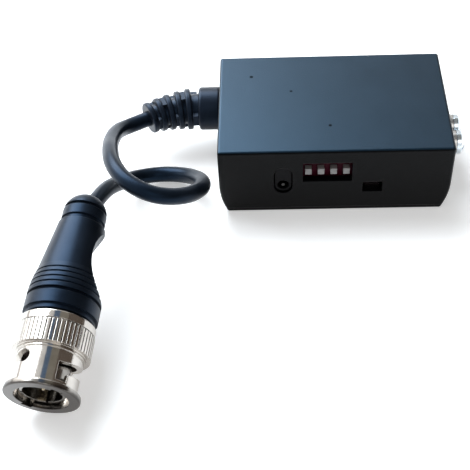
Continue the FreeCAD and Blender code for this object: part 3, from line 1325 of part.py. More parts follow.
def make_plug_small_parts():
    """Insulator, centre pin, gasket, wave spring, thrust washer, retaining ring, braid and ferrule."""
    pin_hole = "center_shank_radius + jacket_gap"
    insulator_end = "stem_start - contact_wall"
    seat(tube("plug_insulator", "insulator_radius", pin_hole, "insulator_start", insulator_end),
         "plug_insulator")
    tip, shank_end = "center_pin_radius", f"{insulator_end} - contact_wall"
    seat(turned("center_pin", [("0", "center_pin_start"), (f"{tip} / 3", "center_pin_start"),
                               (tip, f"center_pin_start + {tip}"), (tip, "insulator_start"),
                               ("center_shank_radius", "insulator_start"),
                               ("center_shank_radius", shank_end), ("0", shank_end)]), "center_pin")
    seat(tube("mouth_gasket", "sleeve_bore_radius - shoulder_gap", "contact_radius + jacket_gap",
              "shoulder_start - gasket_thickness", "shoulder_start"), "mouth_gasket")
    washer_outer = "sleeve_bore_radius - shoulder_gap"
    washer_inner = "neck_radius + neck_fit"
    spring_start = "shoulder_end + play_gap"
    seat(tube("wave_spring", washer_outer, washer_inner, spring_start, f"{spring_start} + spring_thickness"),
         "wave_spring")
    seat(tube("thrust_washer", washer_outer, washer_inner, "thrust_start", "lip_start - play_gap"),
         "thrust_washer")
    ring_start = "sleeve_length + ring_gap"
    seat(tube("retaining_ring", "neck_radius + ring_height / 2", "neck_radius - ring_height / 2 + jacket_gap",
              ring_start, f"{ring_start} + ring_thickness"), "retaining_ring")
    seat(tube("plug_braid", "stem_radius + braid_thickness", "stem_radius + jacket_gap",
              "ferrule_start", "stem_end"), "plug_braid")
    seat(tube("crimp_ferrule", "ferrule_radius", "cable_radius + jacket_gap", "ferrule_start", "ferrule_end"),
         "crimp_ferrule")
    core = turned("plug_lead_core", [("0", insulator_end), ("core_radius", insulator_end),
                                     ("core_radius", "stem_end"), ("0", "stem_end")])
    seat(core, "plug_lead_core")
    keep(solid("plug_lead_jacket", swept_rod(plug_lead_edges(), value("cable_radius"))), "plug_lead_jacket")


def boot_profile():
    """The boot's outline of radius and station, from its front face to its rounded tail."""
    corners = [("ferrule_radius + boot_bore_gap", "ferrule_end + boot_bore_gap"),
               ("ferrule_radius + boot_bore_gap", "stem_start + boot_bore_gap"),
               ("neck_radius + ring_height", "stem_start + boot_bore_gap"),
               ("neck_radius + ring_height", "boot_front"),
               ("front_ring_radius", "boot_front"), ("front_ring_radius", "front_ring_end"),
               ("band_radius", "front_ring_end"), ("band_radius", "band_end"),
               ("band_radius - band_groove_depth", "band_end"),
               ("band_radius - band_groove_depth", "band_groove_end"),
               ("band_radius", "band_groove_end")]
    fall = "(band_radius - boot_shoulder_radius)"
    last = "(boot_shoulder - band_groove_end)"

    def shoulder_radius(station):
        return f"(band_radius - {fall} * (({station} - band_groove_end) / {last}) ^ 2)"

    for number in range(int(value("fine_groove_count"))):
        start = f"(fine_groove_start + {number} * fine_groove_pitch)"
        end = f"({start} + fine_groove_width)"
        floor = f"({shoulder_radius(start)} - fine_groove_depth)"
        corners += [(shoulder_radius(start), start), (floor, start), (floor, end),
                    (shoulder_radius(end), end)]
    corners += [("boot_shoulder_radius", "boot_shoulder"),
                ("cone_end_radius", "cone_end"),
                ("cone_end_radius - tail_groove_depth", "cone_end"),
                ("cone_end_radius - tail_groove_depth", "wide_groove_end"),
                ("dome_radius", "wide_groove_end"),
                ("dome_radius", "dome_station"),
                ("0", "plug_length"), ("0", "ferrule_end + boot_bore_gap")]
    return corners, {len(corners) - 3: ("0", "dome_station", "left")}


def make_plug_boot():
    """The moulded boot: ringed shoulder, cone with one hollow side, two grooves and a domed tail."""
    body = turned("boot_body", *boot_profile())
    groove = outline(body, "XZ_Plane", "tail_groove", [
        ("dome_radius - tail_groove_depth", "narrow_groove_start"),
        ("dome_radius + tail_groove_depth", "narrow_groove_start"),
        ("dome_radius + tail_groove_depth", "narrow_groove_start + narrow_groove_width"),
        ("dome_radius - tail_groove_depth", "narrow_groove_start + narrow_groove_width")])
    feature = body.newObject("PartDesign::Groove", "tail_groove_cut")
    feature.Profile = groove
    feature.ReferenceAxis = (groove, ["V_Axis"])
    feature.Angle = 360
    doc.recompute()
    grip = Part.makeCylinder(value("grip_radius"), value("2 * band_radius"),
                             Vector(value("grip_depth + grip_radius"), value("-band_radius"),
                                    value("grip_middle")), Vector(0, 1, 0))
    grip.rotate(Vector(0, 0, 0), Z_AXIS, value("grip_turn"))
    centre, outwards, entry = entry_frame()
    reach = value("plug_length")
    flat = Part.makeCylinder(reach, reach, entry, outwards)
    lead = swept_rod(plug_lead_edges(), value("cable_radius + jacket_gap"))
    tools = [solid("boot_grip_tool", grip), solid("boot_flat_tool", in_plug_frame(flat)),
             solid("boot_lead_tool", in_plug_frame(lead))]
    seat(cut("plug_boot", body, tools), "plug_boot")


def write_parts():
    """Check every object, then write each piece to its own file."""
    doc.recompute()
    for item in doc.Objects:
        if "Invalid" in item.State or "Error" in item.State:
            raise RuntimeError(f"{item.Name} failed: {item.State}")
    names = [item.Label for item in nodes]
    if len(set(names)) != len(names):
        raise RuntimeError("two pieces share a name")
    for item in nodes:
        shape = item.Shape
        if shape.isNull() or not shape.isValid() or not shape.Solids:
            raise RuntimeError(f"{item.Label} has no valid solid")
    os.makedirs("parts", exist_ok=True)
    for item in nodes:
        item.Shape.exportStep(os.path.join("parts", item.Label + ".step"))
        print(f"{item.Label}: {len(item.Shape.Solids)} solids, {item.Shape.Volume:.2f} cubic millimetres")
    print(f"{len(nodes)} pieces")


fill_sheet()
make_top_cover()
make_base_plate()
make_case_screws()
make_circuit_board()
make_board_screws()
make_power_socket()
make_switch()
make_indicator()
make_terminals()
make_balun()
make_amplifier()
make_capacitors()
make_board_parts()
make_lead(make_strain_relief())
make_cable()
make_coupling_sleeve()
make_plug_body()
make_plug_small_parts()
make_plug_boot()
write_parts()
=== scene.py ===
"""The looks of a small CCTV video balun: black case, looped lead and nickel bayonet plug.

Lengths are in metres. +Z is up, the front face with the switches looks along -Y, and the line
terminals are at +X. The plug has a frame of its own: its mouth at the origin, its tail along +Z.
"""
from __future__ import annotations

import logging
import math
from dataclasses import dataclass
from enum import Enum
from typing import Callable, ClassVar, NamedTuple, Sequence

import bpy
from mathutils import Matrix, Vector

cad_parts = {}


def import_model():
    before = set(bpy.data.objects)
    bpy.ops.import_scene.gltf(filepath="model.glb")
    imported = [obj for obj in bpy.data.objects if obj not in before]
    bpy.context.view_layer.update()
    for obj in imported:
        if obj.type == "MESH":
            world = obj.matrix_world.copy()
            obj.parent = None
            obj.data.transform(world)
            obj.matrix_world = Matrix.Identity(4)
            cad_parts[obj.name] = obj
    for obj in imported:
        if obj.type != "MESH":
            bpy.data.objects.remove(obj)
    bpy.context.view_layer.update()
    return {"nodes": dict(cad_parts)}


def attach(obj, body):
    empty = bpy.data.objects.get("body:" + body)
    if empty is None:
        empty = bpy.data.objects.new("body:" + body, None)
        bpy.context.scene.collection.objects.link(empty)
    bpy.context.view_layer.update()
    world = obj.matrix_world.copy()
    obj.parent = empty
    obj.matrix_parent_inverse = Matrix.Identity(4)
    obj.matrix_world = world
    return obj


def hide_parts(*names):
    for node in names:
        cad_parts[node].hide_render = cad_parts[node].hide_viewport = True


LOG = logging.getLogger("video_balun")
MM = 0.001

Socket = bpy.types.NodeSocket
Colour = tuple[float, float, float]
Place = tuple[float, float, float]
Span = tuple[float, float]

WHITE: Colour = (1.0, 1.0, 1.0)
BLACK: Colour = (0.0, 0.0, 0.0)
# Nearly all values of a noise lie in this span.
NOISE_SPAN: Span = (0.3, 0.7)
# Faces that meet at a flatter angle than this are shaded as one.
SMOOTH_BELOW = math.radians(40)
BEVEL_SAMPLES = 6
# Blender's band texture has this many radians of its wave in one unit, at scale 1.
BAND_RADIANS = 20.0

# Where the plug lies: the middle of its mouth, and the way from there to its tail.
PLUG_MOUTH: Place = (-0.0550, -0.0654, 0.006685)
PLUG_AXIS: Place = (0.119633, 0.974370, 0.190809)


class Shader:
    """A node tree with a few short ways to wire patterns into one surface shader."""

    def __init__(self, name: str) -> None:
        """Start an empty material.

        Args:
            name: The material's name.
        """
        self.material = bpy.data.materials.new(name)
        self.material.use_nodes = True
        self.tree = self.material.node_tree
        self.surface = self.tree.nodes["Principled BSDF"]

    def node(self, kind: str, **settings: object) -> bpy.types.Node:
        """Add a node and set its plain properties.

        Args:
            kind: The node's type name.
            **settings: Properties of the node.

        Returns:
            The new node.
        """
        made = self.tree.nodes.new(kind)
        for name, value in settings.items():
            setattr(made, name, value)
        return made

    def feed(self, socket: Socket, source: object) -> None:
        """Link an output to a socket, or set the socket's value.

        Args:
            socket: The input to feed.
            source: An output socket, a number, a vector or a colour.
        """
        if isinstance(source, bpy.types.NodeSocket):
            self.tree.links.new(source, socket)
        elif isinstance(source, tuple) and len(source) == 3 and socket.type == "RGBA":
            socket.default_value = (*source, 1.0)
        else:
            socket.default_value = source

    def coordinates(self) -> Socket:
        """The piece's own coordinates in metres.

        Returns:
            The vector.
        """
        return self.node("ShaderNodeTexCoord").outputs["Object"]

    def axes(self) -> dict[str, Socket]:
        """The piece's own coordinates one by one.

        Returns:
            The numbers, under X, Y and Z.
        """
        split = self.node("ShaderNodeSeparateXYZ")
        self.feed(split.inputs[0], self.coordinates())
        return {output.name: output for output in split.outputs}

    def stretched(self, scale: Sequence[float]) -> Socket:
        """The piece's coordinates, scaled.

        Args:
            scale: Factors along the three axes.

        Returns:
            The changed coordinates.
        """
        mapping = self.node("ShaderNodeMapping")
        self.feed(mapping.inputs["Vector"], self.coordinates())
        self.feed(mapping.inputs["Scale"], scale)
        return mapping.outputs["Vector"]

    def noise(self, size: float, detail: float = 3.0, roughness: float = 0.55,
              vector: Socket | None = None) -> Socket:
        """Noise with features of a size.

        Args:
            size: The size of a feature, in the units of the coordinates.
            detail: The number of finer layers.
            roughness: The strength of the finer layers.
            vector: Other coordinates than the piece's own.

        Returns:
            A value from 0 to 1, nearly always within NOISE_SPAN.
        """
        texture = self.node("ShaderNodeTexNoise")
        self.feed(texture.inputs["Vector"], vector or self.coordinates())
        self.feed(texture.inputs["Scale"], 1.0 / size)
        self.feed(texture.inputs["Detail"], detail)
        self.feed(texture.inputs["Roughness"], roughness)
        return texture.outputs["Fac"]

    def waves(self, scale: float, direction: str, vector: Socket | None = None) -> Socket:
        """Soft parallel bands.

        Args:
            scale: The texture's scale.
            direction: The axis across the bands, or DIAGONAL.
            vector: Other coordinates than the piece's own.

        Returns:
            A value from 0 to 1.
        """
        texture = self.node("ShaderNodeTexWave", wave_type="BANDS", bands_direction=direction)
        self.feed(texture.inputs["Vector"], vector or self.coordinates())
        self.feed(texture.inputs["Scale"], scale)
        return texture.outputs["Fac"]

    def ranged(self, value: object, low: float, high: float, to_low: float = 0.0,
               to_high: float = 1.0) -> Socket:
        """A value moved from one range to another, held at its ends.

        Args:
            value: The value to move.
            low: Where the first range starts.
            high: Where the first range ends.
            to_low: What the start becomes.
            to_high: What the end becomes.

        Returns:
            The moved value.
        """
        change = self.node("ShaderNodeMapRange", clamp=True)
        for name, source in (("Value", value), ("From Min", low), ("From Max", high),
                             ("To Min", to_low), ("To Max", to_high)):
            self.feed(change.inputs[name], source)
        return change.outputs["Result"]

    def math(self, operation: str, first: object, second: object = 0.0) -> Socket:
        """One sum.

        Args:
            operation: The name of the sum.
            first: Its first value.
            second: Its second value.

        Returns:
            The result.
        """
        node = self.node("ShaderNodeMath", operation=operation)
        self.feed(node.inputs[0], first)
        self.feed(node.inputs[1], second)
        return node.outputs["Value"]

    def vector(self, operation: str, *sources: object) -> Socket:
        """One sum of vectors.

        Args:
            operation: The name of the sum.
            *sources: Its vectors.

        Returns:
            The result: a number for a distance, a dot product or a length, otherwise a vector.
        """
        node = self.node("ShaderNodeVectorMath", operation=operation)
        for socket, source in zip(node.inputs, sources):
            self.feed(socket, source)
        gives_number = operation in ("DISTANCE", "DOT_PRODUCT", "LENGTH")
        return node.outputs["Value" if gives_number else "Vector"]

    def blend(self, share: object, first: object, second: object) -> Socket:
        """A colour between two others.

        Args:
            share: 0 for the first colour, 1 for the second.
            first: The first colour.
            second: The second colour.

        Returns:
            The mixed colour.
        """
        mix = self.node("ShaderNodeMix", data_type="RGBA")
        self.feed(mix.inputs[0], share)
        self.feed(mix.inputs[6], first)
        self.feed(mix.inputs[7], second)
        return mix.outputs[2]

    def bump(self, height: object, depth: float, after: Socket | None = None) -> Socket:
        """Relief on the surface.

        Args:
            height: The pattern, from 0 to 1.
            depth: The height of the relief in metres.
            after: The normal of an earlier relief.

        Returns:
            The bent normal.
        """
        relief = self.node("ShaderNodeBump")
        self.feed(relief.inputs["Height"], height)
        self.feed(relief.inputs["Strength"], 1.0)
        self.feed(relief.inputs["Distance"], depth)
        if after is not None:
            self.feed(relief.inputs["Normal"], after)
        return relief.outputs["Normal"]

    def softened(self, radius: float) -> Socket:
        """The normal with every sharp edge rounded a little, as moulding and plating leave it.

        Args:
            radius: The rounding's radius in metres.

        Returns:
            The rounded normal.
        """
        node = self.node("ShaderNodeBevel", samples=BEVEL_SAMPLES)
        self.feed(node.inputs["Radius"], radius)
        return node.outputs["Normal"]

    def finish(self, **sockets: object) -> bpy.types.Material:
        """Feed the surface shader by socket name, with underscores for spaces.

        Args:
            **sockets: What each socket gets.

        Returns:
            The finished material.
        """
        for name, source in sockets.items():
            self.feed(self.surface.inputs[name.replace("_", " ")], source)
        return self.material


@dataclass(frozen=True)
class Speck:
    """A small dull mark with a ragged rim."""

    place: Place
    radius: float
    colour: Colour = (0.004, 0.005, 0.006)
    tint: Colour = (0.02, 0.05, 0.10)
    rim: Span = (0.8, 1.2)
    rag_size: float = 0.2 * MM
    rag_depth: float = 0.1 * MM

    def share(self, shader: Shader) -> Socket:
        """How much of the mark is at a point.

        Args:
            shader: The shader to wire it in.

        Returns:
            1 on the mark, 0 away from it.
        """
        away = shader.vector("DISTANCE", shader.coordinates(), self.place)
        rag = shader.ranged(shader.noise(self.rag_size), *NOISE_SPAN, 0.0, self.rag_depth)
        inner, outer = (part * self.radius for part in self.rim)
        return shader.ranged(shader.math("ADD", away, rag), inner, outer, 1.0, 0.0)


@dataclass(frozen=True)
class Plastic:
    """A moulded plastic or rubber with a fine grain and slight shading.

    Where a wall tint is given, faces below the height top shine in it, a painted shade, and the top
    shines in tint, a painted lit sheen.
    """

    name: str
    colour: Colour
    shade: Colour
    roughness: Span = (0.4, 0.5)
    grain: float = 0.18 * MM
    grain_depth: float = 0.006 * MM
    waviness: float = 0.0
    edge: float = 0.12 * MM
    tint: Colour = WHITE
    ior: float = 1.5
    shaded_wall_tint: Colour | None = None
    top: float = 0.0
    specks: tuple[Speck, ...] = ()

    CLOUD: ClassVar[float] = 6.0 * MM
    CLOUD_SPAN: ClassVar[Span] = (0.35, 0.65)
    WAVE: ClassVar[float] = 3.5 * MM
    BELOW_TOP: ClassVar[Span] = (0.25 * MM, 0.05 * MM)

    def build(self) -> bpy.types.Material:
        """Make the material.

        Returns:
            The plastic, ready to assign.
        """
        shader = Shader(self.name)
        cloud = shader.noise(self.CLOUD, detail=4.0)
        fine = shader.noise(self.grain, detail=2.0, roughness=0.7)
        colour = shader.blend(shader.ranged(cloud, *self.CLOUD_SPAN), self.colour, self.shade)
        rough = shader.ranged(cloud, *NOISE_SPAN, *self.roughness)
        normal = shader.bump(fine, self.grain_depth, shader.softened(self.edge))
        if self.waviness:
            normal = shader.bump(shader.noise(self.WAVE, detail=1.0), self.waviness, normal)
        sheen = self.tint
        # Painted light: by height alone, the top's sheen is bright and the walls' sheen is dimmed.
        if self.shaded_wall_tint:
            wall_end, top_start = (self.top - below for below in self.BELOW_TOP)
            lit_top = shader.ranged(shader.axes()["Z"], wall_end, top_start)
            sheen = shader.blend(lit_top, self.shaded_wall_tint, self.tint)
        for speck in self.specks:
            share = speck.share(shader)
            colour = shader.blend(share, colour, speck.colour)
            sheen = shader.blend(share, sheen, speck.tint)
            rough = shader.math("MAXIMUM", rough, share)
        return shader.finish(Base_Color=colour, Roughness=rough, Normal=normal, IOR=self.ior,
                             Specular_Tint=sheen)


class Layers(NamedTuple):
    """What every metal starts from."""

    cloud: Socket
    colour: Socket
    rough: Socket
    normal: Socket


@dataclass(frozen=True)
class Metal:
    """A plated or bare metal with faint handling marks."""

    name: str
    colour: Colour
    shade: Colour
    roughness: Span = (0.12, 0.24)
    marks: float = 0.5
    edge: float = 0.10 * MM
    cloud: float = 2.5 * MM

    CLOUD_SPAN: ClassVar[Span] = (0.4, 0.7)
    MARK: ClassVar[float] = 0.25 * MM
    MARK_SPAN: ClassVar[Span] = (0.3, 0.75)
    MARK_DEPTH: ClassVar[float] = 0.0015 * MM

    def layers(self, shader: Shader) -> Layers:
        """Clouded colour, roughness that varies, rounded edges and shallow marks.

        Args:
            shader: The shader to wire them in.

        Returns:
            The layers.
        """
        cloud = shader.noise(self.cloud, detail=5.0)
        marks = shader.noise(self.MARK, detail=4.0)
        return Layers(
            cloud=cloud,
            colour=shader.blend(shader.ranged(cloud, *self.CLOUD_SPAN), self.colour, self.shade),
            rough=shader.ranged(marks, *self.MARK_SPAN, *self.roughness),
            normal=shader.bump(marks, self.MARK_DEPTH * self.marks, shader.softened(self.edge)))

    def build(self) -> bpy.types.Material:
        """Make the material.

        Returns:
            The metal, ready to assign.
        """
        shader = Shader(self.name)
        base = self.layers(shader)
        return shader.finish(Base_Color=base.colour, Metallic=1.0, Roughness=base.rough,
                             Normal=base.normal)


@dataclass(frozen=True)
class Braid(Metal):
    """Tinned wires woven crosswise."""

    strand: float = 0.35 * MM
    strands_per_unit: float = 3.2
    gap_shade_span: Span = (0.0, 0.5)
    relief: float = 0.3

    def build(self) -> bpy.types.Material:
        """Make the material.

        Returns:
            The braid's finish.
        """
        shader = Shader(self.name)
        base = self.layers(shader)
        scale = 1.0 / (self.strand * self.strands_per_unit)
        one_way = shader.waves(scale, "DIAGONAL")
        other_way = shader.waves(scale, "DIAGONAL", shader.stretched((1.0, -1.0, 1.0)))
        weave = shader.math("MULTIPLY", one_way, other_way)
        # Painted shade: the gaps between strands take the darker colour.
        colour = shader.blend(shader.ranged(weave, *self.gap_shade_span), self.shade, base.colour)
        return shader.finish(Base_Color=colour, Metallic=1.0, Roughness=base.rough,
                             Normal=shader.bump(weave, self.strand * self.relief, base.normal))


@dataclass(frozen=True)
class SleevePlating(Metal):
    """Nickel of the coupling sleeve, with painted shade: darker and duller on its mouth's face, and
    darker deep in the knurl's grooves.
    """

    face_shade: Colour = (0.085, 0.078, 0.072)
    face_shade_roughness: float = 0.10
    groove_shade: Colour = (0.018, 0.016, 0.016)
    groove_shade_share: float = 0.95
    groove_shade_depth: float = 0.10 * MM
    face: Span = (0.27 * MM, 1.26 * MM)
    unevenness: float = 0.3 * MM
    knurl: Span = (8.2 * MM, 12.4 * MM)
    knurl_fade: float = 0.2 * MM
    groove: float = 6.975 * MM

    def build(self) -> bpy.types.Material:
        """Make the material.

        Returns:
            The sleeve's plating.
        """
        shader = Shader(self.name)
        base = self.layers(shader)
        station, radius = self.plug_place(shader)
        # Painted shade: the mouth's face is darkened and made duller.
        shift = shader.ranged(base.cloud, *NOISE_SPAN, -self.unevenness, self.unevenness)
        on_face = shader.ranged(shader.math("ADD", station, shift), *self.face, 1.0, 0.0)
        colour = shader.blend(on_face, base.colour, self.face_shade)
        # Painted shade: deep in the knurl's grooves the colour is darkened.
        start, end = self.knurl
        past_start = shader.ranged(station, start, start + self.knurl_fade)
        before_end = shader.ranged(station, end - self.knurl_fade, end, 1.0, 0.0)
        deep = shader.ranged(radius, self.groove - self.groove_shade_depth, self.groove,
                             self.groove_shade_share, 0.0)
        shaded_groove = shader.math("MULTIPLY", shader.math("MULTIPLY", past_start, before_end), deep)
        colour = shader.blend(shaded_groove, colour, self.groove_shade)
        dull = shader.math("MULTIPLY", on_face, self.face_shade_roughness)
        return shader.finish(Base_Color=colour, Metallic=1.0, Normal=base.normal,
                             Roughness=shader.math("ADD", base.rough, dull))

    def plug_place(self, shader: Shader) -> tuple[Socket, Socket]:
        """The distance from the plug's mouth along its axis, and the distance from that axis.

        Args:
            shader: The shader to wire it in.

        Returns:
            Station and radius, in metres.
        """
        offset = shader.vector("SUBTRACT", shader.coordinates(), PLUG_MOUTH)
        across = shader.vector("CROSS_PRODUCT", offset, PLUG_AXIS)
        return shader.vector("DOT_PRODUCT", offset, PLUG_AXIS), shader.vector("LENGTH", across)


@dataclass(frozen=True)
class ThreadedZinc(Metal):
    """Zinc-plated terminal screws: smooth heads, a rolled thread on the shanks along X."""

    cloud: float = 2.0 * MM
    axes: tuple[Span, ...] = ((-3.6 * MM, 7.65 * MM), (1.5 * MM, 7.65 * MM))
    shank: Span = (1.25 * MM, 1.28 * MM)
    pitch: float = 0.5 * MM
    depth: float = 0.10 * MM

    def build(self) -> bpy.types.Material:
        """Make the material.

        Returns:
            The screws' finish.
        """
        shader = Shader(self.name)
        base = self.layers(shader)
        place = shader.axes()
        flat = shader.node("ShaderNodeCombineXYZ")
        shader.feed(flat.inputs["Y"], place["Y"])
        shader.feed(flat.inputs["Z"], place["Z"])
        radii = [shader.vector("DISTANCE", flat.outputs["Vector"], (0.0, y, z))
                 for y, z in self.axes]
        nearest = shader.math("MINIMUM", *radii)
        on_shank = shader.ranged(nearest, *self.shank, 1.0, 0.0)
        thread = shader.waves(math.tau / (BAND_RADIANS * self.pitch), "X")
        relief = shader.math("MULTIPLY", thread, on_shank)
        return shader.finish(Base_Color=base.colour, Metallic=1.0, Roughness=base.rough,
                             Normal=shader.bump(relief, self.depth, base.normal))


@dataclass(frozen=True)
class SolderMask:
    """Green lacquer of a circuit board over copper tracks."""

    name: str = "solder_mask"
    colour: Colour = (0.010, 0.085, 0.035)
    track: Colour = (0.022, 0.15, 0.062)
    stain: Colour = (0.02, 0.11, 0.05)
    stain_span: Span = (0.3, 0.8)
    stain_share: float = 0.35
    cell: float = 2.2 * MM
    cell_offset: float = 0.35
    cell_squash: float = 0.7
    track_width: float = 0.09
    track_span: Span = (0.2, 0.6)
    track_height: float = 0.03 * MM
    cloud: float = 5.0 * MM
    roughness: Span = (0.28, 0.4)
    coat: float = 0.3
    coat_roughness: float = 0.15

    def build(self) -> bpy.types.Material:
        """Make the material.

        Returns:
            The board's finish.
        """
        shader = Shader(self.name)
        cells = shader.node("ShaderNodeTexBrick", offset=self.cell_offset,
                            squash=self.cell_squash)
        shader.feed(cells.inputs["Vector"], shader.coordinates())
        shader.feed(cells.inputs["Scale"], 1.0 / self.cell)
        shader.feed(cells.inputs["Mortar Size"], self.track_width)
        tracks = shader.ranged(cells.outputs["Fac"], *self.track_span)
        cloud = shader.noise(self.cloud)
        stains = shader.ranged(cloud, *self.stain_span, 0.0, self.stain_share)
        colour = shader.blend(tracks, self.colour, self.track)
        return shader.finish(Base_Color=shader.blend(stains, colour, self.stain),
                             Roughness=shader.ranged(cloud, *NOISE_SPAN, *self.roughness),
                             Normal=shader.bump(tracks, self.track_height),
                             Coat_Weight=self.coat, Coat_Roughness=self.coat_roughness)


@dataclass(frozen=True)
class Clear:
    """The tinted clear resin of the indicator."""

    name: str = "indicator_resin"
    colour: Colour = (0.012, 0.010, 0.011)
    shade: Colour = (0.020, 0.014, 0.015)
    cloud: float = 1.2 * MM
    roughness: Span = (0.1, 0.2)
    ripple: float = 0.6 * MM
    ripple_depth: float = 0.01 * MM
    transmission: float = 0.25
    ior: float = 1.5

    def build(self) -> bpy.types.Material:
        """Make the material.

        Returns:
            The resin.
        """
        shader = Shader(self.name)
        cloud = shader.noise(self.cloud)
        return shader.finish(
            Base_Color=shader.blend(shader.ranged(cloud, *NOISE_SPAN), self.colour, self.shade),
            Roughness=shader.ranged(cloud, *NOISE_SPAN, *self.roughness),
            Normal=shader.bump(shader.noise(self.ripple), self.ripple_depth),
            Transmission_Weight=self.transmission, IOR=self.ior)


@dataclass(frozen=True)
class Can:
    """An electrolytic capacitor: aluminium can, dark pole mark on its top, black foot.

    The spans say where the foot ends and the lid starts in height, and the mark starts along X.
    """

    name: str = "capacitor_can"
    aluminium: Colour = (0.72, 0.72, 0.71)
    brushed: Colour = (0.62, 0.62, 0.61)
    dark: Colour = (0.012, 0.012, 0.014)
    foot_end: Span = (5.82 * MM, 5.86 * MM)
    lid_start: Span = (11.25 * MM, 11.30 * MM)
    mark_start: Span = (9.05 * MM, 9.11 * MM)
    brush: float = 0.3 * MM
    brush_stretch: tuple[float, float, float] = (1.0, 1.0, 8.0)
    brush_depth: float = 0.002 * MM
    roughness: Span = (0.26, 0.40)
    edge: float = 0.15 * MM

    def build(self) -> bpy.types.Material:
        """Make the material.

        Returns:
            The can's finish.
        """
        shader = Shader(self.name)
        place = shader.axes()
        fine = shader.noise(self.brush, vector=shader.stretched(self.brush_stretch))
        foot = shader.ranged(place["Z"], *self.foot_end, 1.0, 0.0)
        mark = shader.math("MULTIPLY", shader.ranged(place["Z"], *self.lid_start),
                           shader.ranged(place["X"], *self.mark_start))
        painted = shader.math("MAXIMUM", foot, mark)
        colour = shader.blend(painted, shader.blend(fine, self.aluminium, self.brushed), self.dark)
        return shader.finish(Base_Color=colour, Metallic=shader.math("SUBTRACT", 1.0, painted),
                             Roughness=shader.ranged(fine, *NOISE_SPAN, *self.roughness),
                             Normal=shader.bump(fine, self.brush_depth,
                                                shader.softened(self.edge)))


CASE_BLACK: tuple[Colour, Colour] = ((0.0016, 0.0018, 0.0022), (0.0024, 0.0027, 0.0032))
CASE_TOP = 16.5 * MM
# Dim sheen of the case walls and base plate, against the bright tint of the case top: painted shade
# and painted lit sheen.
SHADED_WALL_TINT: Colour = (0.02, 0.02, 0.022)
ZINC_GREY: tuple[Colour, Colour] = ((0.74, 0.81, 0.86), (0.62, 0.69, 0.74))


